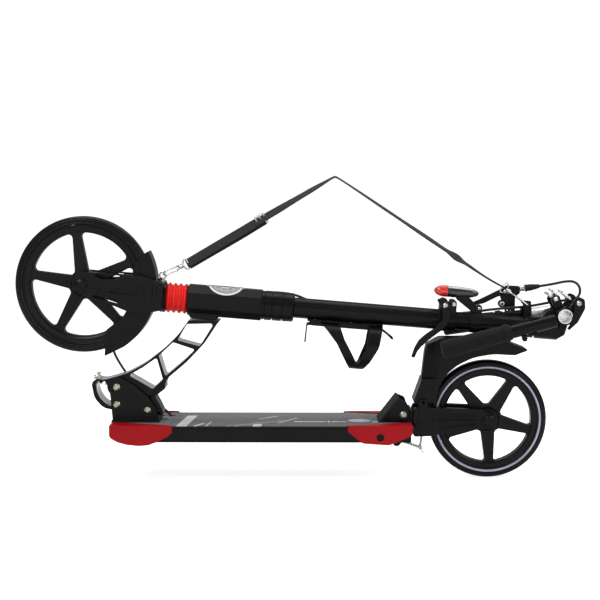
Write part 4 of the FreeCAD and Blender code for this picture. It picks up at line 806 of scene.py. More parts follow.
guards = {
    "deckEnds": (-312, 184), "deckHalf": 75, "deckLow": 71, "deckHigh": 97, "wall": 3.6, "gap": 0.2,
    "front": {"plan": ((-315.6, -78.6, 9), (-221.6, -78.6, 20), (-207.6, -74), (-315.6, -39, 6)),
              "outline": ((-315.6, 86.4, 3), (-315.6, 99.4, 3), (-211.5, 99.4, 5), (-208, 90, 6),
                          (-216.7, 81.6, 12), (-235.4, 72, 16), (-250, 66.7, 14), (-266, 65.4, 30),
                          (-286, 67.6, 24), (-301, 71.8, 10), (-314, 79, 5))},
    "rear": {"plan": ((75.6, -74), (91.6, -78.6, 20), (187.6, -78.6, 9), (187.6, -39, 6)),
             "outline": ((75.6, 99.4, 2), (187.6, 99.4, 3), (187.6, 84, 10), (147.6, 67, 20), (103.6, 70, 14),
                         (75.6, 92.4, 6))},
    "hole": (132.9, 79.8, 6.2), "grooves": (93.4, 73.6),
}


def makeGuards(kind, hole):
    (x0, x1), low, high, half = guards["deckEnds"], guards["deckLow"], guards["deckHigh"], guards["deckHalf"]
    shape, gap = guards[kind], guards["gap"]
    guard = placeAt(plate(shape["plan"], -120, -50), flatDown)
    shapeWith(guard, plate(shape["outline"], -half - guards["wall"], 0), "INTERSECT")
    cutWith(guard, plate(box(x0 - gap, low - gap, x1 + gap, high + gap), -half - gap, 100))
    softenEdges(guard, 1.5, 4, 35)
    if hole:
        x, z, r = guards["hole"]
        rim = [(70, 0), (70, r), (77.6, r), (78, r + 0.6), (90, r + 0.6), (90, 0)]
        cutWith(guard, placeAt(turned(rim, 32), sideways(x, z, out=-1)))
    complete(joined(guard, mirrored(guard)), scooterFrame, kind + "Guards", "deck", "red", (kind + "_bumpers",))


def makeDeck():
    (x0, x1), half, low, high = guards["deckEnds"], guards["deckHalf"], guards["deckLow"], guards["deckHigh"]
    deck = plate(((x0, high, 1), (x1, high, 1), (x1, low, 2), (x0 + 17, low, 2), (x0, low + 12, 2)), -half, half)
    for z in guards["grooves"]:
        for near, far in ((-half - 5, -half + 0.7), (half - 0.7, half + 5)):
            cutWith(deck, plate(box(x0 - 9, z, x1 + 9, z + 1.2), near, far))
    softenEdges(deck, 0.8, 3)
    complete(deck, scooterFrame, "deckExtrusion", "deck", "paint", ("deck_extrusion",))


makeDeck()
makeGuards("front", False)
makeGuards("rear", True)

# hinge: two cheeks on a flanged foot, and the foot lever behind them
hinge = {
    "inner": 22.5, "outer": 28.5, "foot": 37.5, "bores": ((-307.3, 156.5), (-307.3, 127), (-256, 117.2)),
    "cheek": ((-314.8, 97.5), (-318.3, 138.5, 20), (-320.3, 158.5, 6), (-315.8, 169.5, 4), (-303.8, 174, 6),
              (-278.3, 159.5, 30), (-254.3, 138.5, 30), (-241.3, 118.5, 16), (-237.3, 103, 5), (-237.3, 97.5)),
    "flange": (-316, -236.3, 97, 4.2), "leverHalf": 19.5, "weldHalf": 30.7,
    "weld": ((-312, 101), (-238.3, 101), (-240.3, 103.4, 2), (-310, 103.4, 2)),
    "lever": ((-263, 115.2, 4), (-258, 126.2, 5), (-251, 139.5, 3), (-244, 139, 3), (-237, 126.2, 6),
              (-230, 111.2, 6), (-234, 105.2, 3), (-237, 114.2, 5), (-247, 110.2, 5)),
}


def makeHinge():
    cheek = plate(hinge["cheek"], hinge["inner"], hinge["outer"])
    cutWith(cheek, *[drill(bore, 5, 24, 0) for bore in hinge["bores"]])
    softenEdges(cheek, 0.9, 3)
    x0, x1, low, thick = hinge["flange"]
    foot = plate(((x0, low), (x1, low), (x1, low + thick, 1), (x0, low + thick, 1)), -hinge["foot"], hinge["foot"])
    weld = plate(hinge["weld"], -hinge["weldHalf"], hinge["weldHalf"])
    whole = joined(cheek, mirrored(cheek), softenEdges(foot, 1.2, 3), softenEdges(weld, 1.0, 3))
    complete(whole, scooterFrame, "hingeBracket", "deck", "steelPaint", ("hinge_bracket",))


def makeReleaseLever():
    arm = softPlate(hinge["lever"], -hinge["leverHalf"], hinge["leverHalf"], 0.8)
    complete(arm, scooterFrame, "releaseLever", "release_lever", "steelPaint", ("release_lever",))


makeHinge()
makeReleaseLever()
print("deck and hinge done")

# head tube: eight-sided, with a boss underneath; a plain round badge on top
head = {
    "start": -189, "end": -65, "half": 25.5, "flat": 12.5, "badge": (-127, 33, 25),
    "bore": ((-194, 0), (-194, 18), (-180, 18), (-180, 16.5), (-74, 16.5), (-74, 18), (-60, 18), (-60, 0)),
    "boss": ((-191, -20, 4), (-181, -31, 4), (-142, -31, 4), (-128, -20)),
    "lip": ((-182, -24, 1), (-182, -29, 2), (-138, -29, 2), (-134, -24, 1)),
}


def eightSided(h, f, low, high):
    corners = [(x, z, 2) for x, z in ((-h, -f), (-f, -h), (f, -h), (h, -f), (h, f), (f, h), (-f, h), (-h, f))]
    return placeAt(plate(corners, low, high), Matrix.Rotation(-pi / 2, 4, "Z"))


def makeHeadTube():
    tube = cutWith(eightSided(head["half"], head["flat"], head["start"], head["end"]), turned(head["bore"], 64))
    softenEdges(tube, 1.6, 3, 40)
    whole = joined(tube, softPlate(head["boss"], -17, 17, 1.4), softPlate(head["lip"], -18.2, 18.2, 0.8, 2))
    complete(whole, stemFrame, "headTube", "neck", "paint", ("head_tube",))


def ringedBadge():
    # pale rings with a mottled band between them, no lettering
    finish = Finish("ringedBadge", Coat_Weight=0.3)
    at, long, wide = head["badge"]
    middle = stemFrame @ Vector((at * mm, 0, 24 * mm))
    u, v = (finish.axis(0) - middle.x) / (long * mm), (finish.axis(1) - middle.y) / (wide * mm)
    reach = (u * u + v * v) ** 0.5
    rim = reach > 0.9
    inner = (reach > 0.52) * (reach < 0.58)
    mottle = finish.ramp(finish.noise(700, 3), 0.12, 0.6, 0.4, 0.6) * (reach > 0.6) * (reach < 0.87)
    finish.set(Base_Color=finish.mix(rim + inner + mottle, (0.015, 0.014, 0.015), (0.66, 0.65, 0.64)),
               Roughness=finish.ramp(finish.noise(300, 3), 0.25, 0.4))
    finish.bump(rim, 0.0001)
    return finish.material


def makeBadge():
    at, long, wide = head["badge"]
    badge = eightSided(head["half"] + 0.6, head["flat"], at - long - 4, at + long + 4)
    oval = placeAt(cylinder(4, 40, 20, 96), Matrix.Diagonal((long / 20, wide / 20, 1, 1)) @ upright())
    shapeWith(badge, placeAt(oval, shifted(at)), "INTERSECT")
    softenEdges(badge, 0.3, 2, 50)
    complete(badge, stemFrame, "headBadge", "neck", "badge", ("head_badge",))


makeHeadTube()
# pale: the plain badge finish, reused as a painted highlight on the rear lamp's top
addFinish("pale", "badge_white", finishes["badge"])
addFinish("badge", "badge_white", ringedBadge())
makeBadge()
print("head tube done")

# carrying strap: woven webbing, its twist given at stations along it
strap = {
    "width": 19.0, "thickness": 1.9,
    "front": ((-191, 0, 361.6), (-160, 0, 380), (-128, 0, 399), (-96, 0, 417.5), (-64, 0, 437), (-30, 0, 457),
              (10, 0, 480.5), (40, 0, 498), (53, 0, 505.8), (58.5, 0, 508.2), (63.5, 0, 506.8)),
    "frontTwist": ((0, 52), (0.42, 50), (0.55, 36), (0.8, 22), (1, 4)),
    "second": ((-188, 0, 361.6), (-158, 0, 379.2), (-126, 0, 397.5), (-94, 0, 416), (-60, 0, 437)),
    "rear": ((57, 0, 508.6), (62, 0, 507), (68, 0, 503.5), (100, 0, 482.6), (150, 0, 449), (200, 0, 415.6),
             (250, 0, 382), (290, 0, 355), (322, 0, 333.4), (344, 0, 322.3)),
    "rearTwist": ((0, 4), (0.35, 10), (0.55, 16), (0.66, 14), (0.72, 34), (0.78, 12), (0.9, 6), (1, 4)),
    "secondTwist": ((0, 52), (1, 50)),
    "frontBlend": (("fork", "stem"), (-185, 0, 365), (50, 0, 504)),
    "rearBlend": (("stem", "upper_stem"), (70, 0, 502), (335, 0, 326)),
    "slider": ((-72, 432.2), (-56, 441.8)),
    "section": ((-1, 0.3), (-0.93, 1), (-0.6, 1), (0, 1), (0.6, 1), (0.93, 1), (1, 0.3)),     # its upper half
}


def smoothLine(points, resolution):
    # the points of a smooth curve that has these as its control points
    holder = drawnLine("line", points, resolution)
    mesh = bpy.data.meshes.new_from_object(holder.evaluated_get(bpy.context.evaluated_depsgraph_get()))
    found = [vertex.co.copy() for vertex in mesh.vertices]
    bpy.data.objects.remove(holder)
    bpy.data.meshes.remove(mesh)
    return found


def twistAt(stations, share):
    for (a, low), (b, high) in zip(stations, stations[1:]):
        if share <= b:
            part = (share - a) / (b - a)
            part = part * part * (3 - 2 * part)
            return radians(low + (high - low) * part)
    return radians(stations[-1][1])


def makeWebbing(name, points, stations, lift=0.0):
    line = smoothLine([inScooter(point) for point in points], 14)
    lengths = [0.0]
    for here, ahead in zip(line, line[1:]):
        lengths.append(lengths[-1] + (ahead - here).length)
    half, thick = strap["width"] * mm / 2, strap["thickness"] * mm / 2
    upper = strap["section"]
    section = [*upper, *((v, -w) for v, w in reversed(upper))]
    corners, faces, around = [], [], len(section)
    for i, here in enumerate(line):
        along = (line[min(i + 1, len(line) - 1)] - line[max(i - 1, 0)]).normalized()
        flat = along.cross(Vector((0, 1, 0)))
        turn = twistAt(stations, lengths[i] / lengths[-1])
        across = Vector((0, cos(turn), 0)) + flat * sin(turn)
        out = across.cross(along)
        for v, w in section:
            corners.append(here + across * (v * half) + out * (w * thick + lift * mm))
    for i in range(len(line) - 1):
        for j in range(around):
            k = (j + 1) % around
            faces.append((i * around + j, i * around + k, (i + 1) * around + k, (i + 1) * around + j))
    faces += [tuple(range(around - 1, -1, -1)), tuple(range((len(line) - 1) * around, len(line) * around))]
    mesh = bpy.data.meshes.new(name)
    mesh.from_pydata(corners, [], faces)
    web = mesh.uv_layers.new(name="weave")
    for face in mesh.polygons:
        for loop in face.loop_indices:
            row, column = divmod(mesh.loops[loop].vertex_index, around)
            web.data[loop].uv = (lengths[row], section[column][0] * half)
    shape = bpy.data.objects.new(name, mesh)
    bpy.context.collection.objects.link(shape)
    pickOnly(shape)
    bpy.ops.object.mode_set(mode="EDIT")
    faceOut()
    return shape


def wovenFinish():
    finish = Finish("wovenStrap", Specular_IOR_Level=0.25, Sheen_Weight=0.1)
    uv = finish.node("ShaderNodeUVMap", {"uv_map": "weave"})
    along, across = finish.axis(0, uv), finish.axis(1, uv)
    weave = finish.math("SINE", (along + across * 0.8) * 4200) * 0.6 + finish.math("SINE", across * 5200) * 0.4
    edge = finish.math("ABSOLUTE", across) > 0.0084
    fuzz = finish.noise(600, 3)
    shade = finish.ramp(weave, 0.15, 0.85, -1, 1) * finish.ramp(fuzz, 0.7, 1.2, 0.3, 0.7)
    base = finish.mix(shade, (0.005, 0.005, 0.0055), (0.022, 0.022, 0.024))
    finish.set(Base_Color=finish.mix(edge * 0.5, base, (0.004, 0.004, 0.004)),
        Roughness=finish.ramp(fuzz, 0.6, 0.85))
    finish.bump(weave, 0.0003)
    return finish.material


def blended(shape, place, name, finish, bodies, start, end, nodes=()):
    complete(shape, place, name, None, finish, nodes, 40)
    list(bodies)
    tuple(inScooter(start))
    tuple(inScooter(end))
    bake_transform(shape)


addFinish("woven", "webbing_black", wovenFinish())
for name, points, twist, lift, bend in (("strapFront", "front", "frontTwist", 0, "frontBlend"),
                                        ("strapReturn", "second", "secondTwist", 2.6, "frontBlend"),
                                        ("strapRear", "rear", "rearTwist", 0, "rearBlend")):
    webbing = makeWebbing(name, strap[points], strap[twist], lift)
    blended(webbing, None, name, "woven", *strap[bend], nodes=("strap",))


def makeSlider():
    # a three-bar slider
    shape = plate(box(-1, -12.5, 17, 12.5, 2), -1.1, 1.1)
    for low, high in ((1.6, 6.6), (9.4, 14.4)):
        cutWith(shape, plate(box(low, -10, high, 10, 1), -5, 5))
    softenEdges(shape, 0.5, 2)
    (x0, z0), (x1, z1) = strap["slider"]
    place = (scooterFrame @ shifted(x0, 0, z0) @ Matrix.Rotation(-atan2(z1 - z0, x1 - x0), 4, "Y")
             @ Matrix.Rotation(radians(38), 4, "X"))
    blended(shape, place, "strapSlider", "aluminium", *strap["frontBlend"])


makeSlider()

# snap hooks: a ring for the strap, a barrel, and a loop with its thumb piece, which ends past the tip's distance
hook = {
    "ring": ((-4, 0, -9), (-4, 0, 9), (1, 0, 9.5), (4.5, 0, 4), (5, 0, 0), (4.5, 0, -4), (1, 0, -9.5)),
    "barrel": ((3.5, 0), (3.5, 2.6, 0.6), (6, 2.6, 0.5), (6.3, 3.8, 0.5), (11.4, 3.8, 0.8), (13.6, 2.2), (13.6, 0)),
    "out": ((10, 0, 0), (13, 0, 3.2), (18, 0, 5)), "back": ((18, 0, -4.6), (13, 0, -3)),
    "thumb": ((15, 0, -3.6), (17, 0, -7.6), (19, 0, -7.8)),
    "eye": (-235, 0, 36.4), "eyeRadius": 5.6,
    "eyeBase": ((25.8, 0), (25.8, 4.6, 0.6), (28, 4.6, 0.6), (28.6, 2.6), (31.6, 2.2), (31.6, 0)),
}


def makeHook(name, start, end, body, nodes, spin, extra=()):
    length = (Vector(end) - Vector(start)).length
    far = ((length - 4, 0, 5.4), (length + 1.4, 0, 4), (length + 1.4, 0, -4), (length - 4, 0, -5.4))
    ring, barrel = wire(hook["ring"], 1.15, True), turned(hook["barrel"], 32)
    loop, thumb = wire((*hook["out"], *far, *hook["back"]), 1.6, True, 3), wire(hook["thumb"], 0.9)
    for part in (loop, thumb):
        placeAt(part, Matrix.Rotation(radians(spin), 4, "X"))
    whole = placeAt(joined(ring, barrel, loop, thumb), scooterFrame @ alongLine(start, end))
    complete(joined(whole, *extra), None, name, body, "steel", nodes, 50)


eye, radius = hook["eye"], hook["eyeRadius"]
eyeRing = placeAt(wire([(x, 0, z) for x, z in ringOf(radius, range(0, 360, 30))], 1.5, True, 3),
                  stemFrame @ shifted(*eye))
eyeBase = placeAt(turned(hook["eyeBase"], 32), stemFrame @ upright(eye[0]))
makeHook("frontHook", (-192, 0, 361), tuple(inStem(-232.5, 40)), "fork", ("front_hook",), 50, (eyeRing, eyeBase))
makeHook("rearHook", (344.5, 0, 321.5), tuple(inStem(383, 35.5)), "upper_stem", ("rear_hook",), 90)
print("strap and hooks done")

# brake cable: one smooth line, in four stretches
cable = {
    "radius": 2.2,
    "exit": (-25.5, -7),     # along the right bar, 47 mm off its axis
    "loop": ((457, 56, 329), (472.6, 55, 329), (482, 54, 319.6), (482, 52.5, 306.4), (472.6, 51, 297),
             (458, 50, 296.8), (436, 45, 295), (412, 31, 291.5), (385, 23, 287.8), (330, 21.5, 284)),
    "beside": ((285, 13, 21.5), (250, 8, 24), (215, 2, 23), (150, 1, 21.5), (105, 0.4, 22), (60, 2, 21.5),
               (15, 11, 24), (-12, 21, 27), (-58, 21, 29), (-100, 12, 31), (-140, 8, 32), (-180, 6, 32),
               (-230, 6, 39), (-270, -12, 44), (-296, -38, 43)),
    "down": ((-322, 42, 246), (-326, 41, 226), (-321, 40, 206), (-310, 39, 186), (-296, 38, 166), (-277, 38, 146),
             (-256, 38, 128), (-238, 37.4, 112), (-225, 36.6, 101), (-219, 36, 93)),
    "cuts": ((360, 22, 286), tuple(inStem(232, 23, 5)), (-315, 39.5, 196)),
    "stretches": (      # name, bodies, where the bend starts and ends
        ("cableLoop", ("right_bar", "upper_stem"), (470, 55, 318), (470, 51, 300)),
        ("cableUpper", ("upper_stem", "stem"), (355, 22, 286), (250, 20, 276)),
        ("cableStem", ("stem", "neck"), (-298, 43, 273), (-321, 40, 206)),
        ("cableNeck", ("neck", "deck"), (-310, 39, 186), (-238, 37, 112)),
    ),
}


def cableRoute():
    points = [rightFrame @ Vector((x * mm, 0, 47 * mm)) for x in cable["exit"]]
    points += [inScooter(point) for point in cable["loop"]]
    points += [stemFrame @ Vector((x * mm, y * mm, z * mm)) for x, z, y in cable["beside"]]
    points += [inScooter(point) for point in cable["down"]]
    return smoothLine(points, 8)


def nearest(line, point):
    target = inScooter(point)
    return min(range(len(line)), key=lambda i: (line[i] - target).length)


line = cableRoute()
cuts = [0, *(nearest(line, point) for point in cable["cuts"]), len(line) - 1]
for first, last, (name, *bend) in zip(cuts, cuts[1:], cable["stretches"]):
    path = drawnLine(name, line[first:last + 1], 12, False, "POLY")
    blended(thickened(path, cable["radius"], 4, True, 0.0001), None, name, "cable", *bend, ("brake_cable",))
print("cable length %.3f m" % sum((b - a).length for a, b in zip(line, line[1:])))

# stem: grooved split collar, the double clamp and its lever
collar = {
    "outer": 25, "grooves": (-47.5, -30.5), "ears": (-56, -14),
    "foot": ((-60, 17.3), (-60, 24, 0.8), (-58.5, 25, 0.6)),
        "top": ((-12.2, 24.2, 1), (-10, 21.5, 0.8), (-10, 17.3)),
    "spacer": ((-65.6, 17.3), (-65.6, 23.6, 0.6), (-59.4, 23.6), (-59.4, 17.3)),
}


def makeCollar():
    outer = collar["outer"]
    profile = [*collar["foot"]]
    for x in collar["grooves"]:
        profile += [(x - 0.2, outer - 0.1, 0.3), (x + 0.1, 22.6), (x + 1.5, 22.6), (x + 1.8, outer - 0.2, 0.3)]
    ring = turned([*profile, *collar["top"]], 96)
    x0, x1 = collar["ears"]
    ears = [softPlate(((x0, low, 2), (x1, low, 2), (x1, high, 3), (x0, high, 3)), 17, 32, 1)
            for low, high in ((0.8, 12), (-12, -0.8))]
    spacer = turned(collar["spacer"], 96)
    complete(joined(ring, spacer, *ears), stemFrame, "stemCollar", "stem", "paint", ("stem_collar",))


makeCollar()
clamp = {
    "bands": ((233, 247.2, 19.2), (248.8, 263, 18.4)),
    "ears": (((234, 10), (234, 33, 4), (238, 37, 3), (245, 36, 3), (247, 30, 3), (247, 10)),
             ((249.4, 10), (249.4, 30, 3), (252, 35.5, 3), (259, 35.5, 4), (262, 31, 3), (262, 10))),
    "lever": ((225.5, 36, 4), (231.5, 38, 4), (247.5, 32, 6), (251.5, 7, 14), (244, -10, 14), (231, -21, 10),
              (219, -32, 10), (206, -45.5, 8), (200.5, -54, 10), (197, -64.5, 2), (191.2, -63.5, 2),
                  (195.6, -47, 12),
              (201.4, -34.4, 12), (212.3, -23.3, 14), (226, -12.5, 14), (236, 0, 12), (238.5, 10, 10),
                  (232.5, 25, 6)),
    "leverSide": (-38, -31), "bolt": (240.5, 27),
}


def makeClamp():
    parts = [sleeve(low, high, 15.1, radius) for low, high, radius in clamp["bands"]]
    parts += [softPlate(ear, *side, 1) for ear in clamp["ears"] for side in ((-14, -2.2), (2.2, 14))]
    complete(joined(*parts), stemFrame, "heightClamp", "stem", "steelPaint", ("height_clamp",))
    (near, far), axis = clamp["leverSide"], clamp["bolt"]
    pieces = [softPlate(clamp["lever"], near, far, 1.6, 4), pin(axis, far - 1, -14.3, 7.4), pin(axis, -16, 15, 2.5),
              pin(axis, 14.2, 18, 4.8)]
    complete(joined(*pieces), stemFrame, "clampLever", "clamp_lever", "steelPaint", ("clamp_lever",))
    complete(bolt(axis, 38, -1, 4.6, 2.4, 2.0), stemFrame, "clampLeverCap", "clamp_lever", "steel")


makeClamp()

# handlebar tee: the cross socket, its split ears, lugs and cam levers
tee = {
    "socket": (440, 25), "bore": 12.05,
    "cross": ((-42, 12.05), (-42, 13.6, 0.4), (-40.5, 15, 0.6), (40.5, 15, 0.6), (42, 13.6, 0.4), (42, 12.05)),
    "liner": ((-41.6, 10.6), (-41.6, 12.0), (-14, 12.0), (-14, 0), (-15.4, 0), (-15.4, 10.6)),
    "web": ((402, -8, 3), (402, 12, 8), (414, 30, 8), (434, 38, 6), (444, 36, 6), (452, 20, 6), (446, -8, 6),
            (434, -16, 4)),
    "ear": ((447, 24), (452, 29, 2), (467, 41, 4), (465, 55, 6), (456, 56, 6), (446, 38)),
    "lug": ((427, 32), (417, 48, 3), (420, 58, 4), (430, 57, 4), (440, 38)),
    "lever": ((469, 56, 6), (458, 60, 6), (450, 52, 6), (456, 37, 8), (456, 21, 10), (445, 5, 2), (448, 3, 1),
              (461, 17, 8), (471, 41, 8)),
    "pin": (460, 49), "bolts": ((414.5, 57.5), (424.3, 51.2)),
    "plates": (((418, 63.4), (419.4, 66.4, 1), (433, 58.4, 1), (431.4, 55.4)),
               ((434, 62.4), (435.6, 65.8, 1), (451, 54.4, 1), (449.2, 51.4))),
    "leverCheek": ((469, 56, 6), (458, 59, 6), (451, 52, 6), (453, 37, 8), (450.5, 20, 8), (445, 5, 2), (448, 3, 1),
                   (461, 17, 8), (471, 41, 8)),
}


def makeTee():
    x, z = tee["socket"]
    cross = placeAt(turned(tee["cross"]), sideways(x, z))
    for side in (-1, 1):
        cutWith(cross, plate(box(x - 1, z + 9, x + 1, z + 60), side * 20, side * 60))
        cutWith(cross, plate(box(x - 20, z + 3, x - 8, z + 4.6), side * 36, side * 60))
    collarBand = sleeve(x - 42, x - 4, 15.1, 18.9)
    web = plate(tee["web"], -16, 16)
    cutWith(web, drill((x, z), tee["bore"], 48), cylinder(x - 60, x - 14, 15, 48))
    parts = [cross, collarBand, softenEdges(web, 1.2, 3)]
    for side in (-1, 1):
        ear = cutWith(plate(tee["ear"], side * 26, side * 36), drill(tee["pin"], 3.2))
        parts += [softenEdges(ear, 1.0, 3), softPlate(tee["lug"], side * 16, side * 24, 1.0)]
    whole = complete(joined(*parts), stemFrame, "handlebarTee", "upper_stem", "paint", ("tee_housing",))
    paintFaces(whole, "aluminium", stemFrame.inverted(),
               lambda at, normal: hypot(at.x - x, at.z - z) < tee["bore"] + 0.35)
    for side, name in ((-1, "left"), (1, "right")):
        lever = joined(softPlate(tee["lever"], side * 36.2, side * 44, 1.2),
                       softPlate(tee["leverCheek"], side * 42.3, side * 44.2, 0.7, 2))
        lever = joined(lever, pin(tee["pin"], side * 24, side * 44.5, 3.0))
        body = "tee_lever_" + name
        complete(lever, stemFrame, name + "CamLever", body, "steelPaint", (body,))
        complete(bolt(tee["pin"], 44, side, 4.6, 2.2, 2.2), stemFrame, name + "CamBolt", body, "steel")
    plates = [softPlate(outline, y, y + 13, 0.4, 2) for outline in tee["plates"] for y in (-23, 10)]
    liner = placeAt(turned(tee["liner"], 64), sideways(x, z))
    for axis in tee["bolts"]:
        plates += [bolt(axis, 24.2, -1, 4.4, 3.6, 1.9), pin(axis, -24.4, 24.4, 2.4)]
    complete(joined(liner, *plates), stemFrame, "teePlates", "upper_stem", "aluminium", ("tee_bolt",))


makeTee()

# handlebar halves: tubes, spring buttons left as they are, foam grips with a stepped collar
bars = {
    "tube": ((-196, 9.2), (-196, 11, 0.4), (-5, 11, 0.8), (-5, 9.2)),
    "bright": ((-62, 9.2), (-62, 11.25, 0.3), (0, 11.25, 0.8), (0, 9.2)),
    "gripStart": -199, "stop": ((-10, -18, 4.6), (-17, -20.5, 3.4)),
    "gripCollar": ((17, 13.9, 1), (16.4, 12.9, 0.4), (14, 12.9, 0.4), (13.2, 15.0, 1), (5, 15.0, 1.2),
        (4, 13.2, 0.6),
                   (0, 12.6, 1), (0, 11.1)),
}


def makeGrip(side, place, length):
    start, end = bars["gripStart"], bars["gripStart"] + length
    profile = [(start, 0), (start, 13, 2), (start + 3, 15.2, 2), (start + 70, 14.7, 30)]
    profile += [(end - back, *more) for back, *more in bars["gripCollar"]]
    profile += [(start + 3, 11.1), (start + 3, 0)]
    complete(turned(profile), place, side + "Grip", side + "_bar", "foam", (side + "_grip",))


for side, place, length in (("left", leftFrame, 118), ("right", rightFrame, 105)):
    complete(turned(bars["tube"], 64), place, side + "BarTube", side + "_bar", "paint", (side + "_bar_tube",))
    if side == "right":
        complete(turned(bars["bright"], 64), place, "rightBarSleeve", "right_bar", "aluminium")
    else:
        stop = [rod((-62, 0, near), (-62, 0, far), radius) for near, far, radius in bars["stop"]]
        complete(joined(*stop), place, "leftBarStop", "left_bar", "steelPaint")
    makeGrip(side, place, length)

# brake lever: clamp, body, blade, barrel adjuster and boot
brake = {
    "x": -83, "lobe": (-94, 26), "pivot": (-86, 46), "clip": (-84, -6.6, 17), "adjuster": (-59.8, 0, 47),
    "post": ((-90, 8), (-91, 24, 6), (-95, 38, 5), (-89, 52, 5), (-82, 56, 4), (-60, 52, 3), (-61, 40, 3),
             (-70, 35, 6), (-74, 8)),
    "slot": ((-99, 27), (-99, 60), (-75, 60), (-75, 42), (-87, 27)),
    "blade": ((-79, 49, 3), (-84, 53, 4), (-94, 51, 8), (-124, 41, 14), (-148, 34, 3), (-147, 29, 3),
              (-124, 31, 14), (-100, 39, 10), (-83, 41, 4)),
    "barrel": ((0, 0), (0, 4.6, 0.4), (2.4, 4.6, 0.4), (2.6, 3.2), (3.6, 3.2), (3.8, 5.0, 0.4), (6.8, 5.0, 0.4),
               (7, 3.6), (8.7, 3.6), (8.7, 0)),
    "boot": ((8.4, 0), (8.4, 6.1, 1), (12, 6.3, 2), (13, 5.4, 0.8), (16, 5.9, 1.5), (20, 5.5, 2), (28, 4.3, 3),
             (34, 3.3, 0.8), (34, 0)),
}


def makeBrake():
    x = brake["x"]
    ring = sleeve(x - 7, x + 7, 11.1, 15, 64)
    post = softenEdges(cutWith(plate(brake["post"], -6, 6), plate(brake["slot"], -3.2, 3.2)), 1.2, 3)
    ear = softPlate(((x - 6, -10), (x - 6, -21, 3), (x + 6, -21, 3), (x + 6, -10)), -5, 5, 1)
    lobe = pin(brake["lobe"], -6, 6, 6.4)
    complete(joined(ring, post, ear, lobe), rightFrame, "brakeBody", "right_bar", "steelPaint", ("brake_body",))
    complete(softPlate(brake["blade"], -2.8, 2.8, 1.1), rightFrame, "brakeBlade", "brake_blade", "steelPaint",
             ("brake_blade",))
    clip = wire([(x, 0, z) for x, z in ringOf(4.6, range(190, 351, 20))], 0.9)
    screws = [bolt(brake["pivot"], 6, -1, 3.6, 1.6, 1.6), pin(brake["lobe"], -7.4, 7.4, 4.4, 0.5, 2.0),
              placeAt(clip, shifted(*brake["clip"])), bolt(brake["pivot"], 6, 1, 3.6, 1.6, 1.6)]
    complete(joined(*screws), rightFrame, "brakeScrews", "right_bar", "steel")
    place = rightFrame @ shifted(*brake["adjuster"])
    complete(turned(brake["barrel"], 32), place, "brakeBarrel", "right_bar", "steel", ("cable_adjuster",))
    complete(turned(brake["boot"], 32), place, "brakeBoot", "right_bar", "damper", ("cable_adjuster",))


makeBrake()
print("stem top done")

# rear lamp: ribbed body whose upward faces carry a painted highlight, on its slanting foot
lamp = {
    # pale: how far up a face of the body must look to get the painted highlight
    "axis": 48.5, "pale": 0.6, "screw": (301, 24),
    "body": ((246, 0), (246, 9.6, 0.8), (249, 9.7, 0.4), (249.4, 9.2), (250.4, 9.2), (250.8, 9.7, 0.4),
        (268, 9.3, 8),
             (288, 7.4, 10), (296, 4.4, 2), (298, 2.2, 1), (298, 0)),
    "foot": ((258, 44, 2), (282, 42, 2), (306, 20, 4), (306, 12), (290, 12), (288, 18, 6), (262, 36, 4)),
    "ear": ((296, 14), (296, 30, 5), (306, 30, 5), (306, 14)),
    "lens": ((223, 0), (223, 2, 1), (226, 5.8, 3), (232, 8.7, 6), (238, 9.6, 6), (245.8, 9.6, 0.4), (245.8, 0)),
}


def makeLamp():
    up = shifted(0, 0, lamp["axis"])
    body = placeAt(turned(lamp["body"], 64), up)
    foot = joined(softPlate(lamp["foot"], -6, 6, 1.4), sleeve(287, 305, 15.2, 18),
                  softPlate(lamp["ear"], -5, 5, 1))
    complete(body, stemFrame, "rearLampBody", "upper_stem", "gloss", ("light_housing",))
    # painted highlight: the body's upward faces take the pale finish in place of the lamps' reflection on the gloss
    paintFaces(body, "pale", stemFrame.inverted(), lambda at, normal: normal.z > lamp["pale"])
    complete(foot, stemFrame, "rearLampFoot", "upper_stem", "plastic", ("light_housing",))
    complete(turned(lamp["lens"], 64), stemFrame @ up, "rearLampLens", "upper_stem", "lens", ("light_lens",))
    complete(bolt(lamp["screw"], 5, -1, 3.2, 1.8, 1.4), stemFrame, "rearLampScrew", "upper_stem", "steel")


makeLamp()

# bottle cage: back plate, two slanting bands round the bottle, a rail, a lip and a spring finger
cage = {
    "top": -17.4, "strip": 2.4, "radius": 36.5, "span": (8, 150),
    "front": ((33, -16.4), (66, -16.4), (81, -52, 20), (101, -84, 6), (112, -96.7), (92, -96.7), (66, -51, 20),
              (50, -33, 14)),
    "rear": ((119, -16.4), (142, -16.4), (137, -52, 20), (124, -79, 10), (112, -96.7), (96, -96.7), (106, -82, 8),
             (116, -55, 20)),
    "rail": ((20, -17.4, 1), (116, -17.4, 1), (132, -24.6, 3), (130, -27.2, 1), (26, -27.2, 1), (15, -26.4, 2)),
    "lip": ((11.6, -56), (14.2, -56), (14.6, -27.4, 2), (24, -26, 1), (24, -23.4), (12.8, -23.4, 3)),
    "finger": ((128, -24.6, 1), (143, -24.6, 6), (160, -36, 3), (161.5, -39.5, 2), (158.5, -40.5, 2), (150, -33, 6),
               (141, -27.2, 5), (128, -27, 1)),
}


def makeCage():
    top, thick, radius, (low, high) = cage["top"], cage["strip"], cage["radius"], cage["span"]
    parts = []
    for outline in (cage["front"], cage["rear"]):
        tube = turned([(low, radius), (low, radius + thick), (high, radius + thick), (high, radius)], 96)
        placeAt(tube, shifted(0, 0, top - thick - radius))
        parts.append(softenEdges(shapeWith(tube, plate(outline, -60, 60), "INTERSECT"), 0.6, 2))
    for outline, half in ((box(14, top - thick, 132, top), 11), (cage["rail"], 9), (cage["lip"], 9),
        (cage["finger"], 7)):
        parts.append(softPlate(outline, -half, half, 0.6, 2))
    complete(joined(*parts), stemFrame, "bottleCage", "stem", "plastic", ("bottle_cage",), 50)


makeCage()

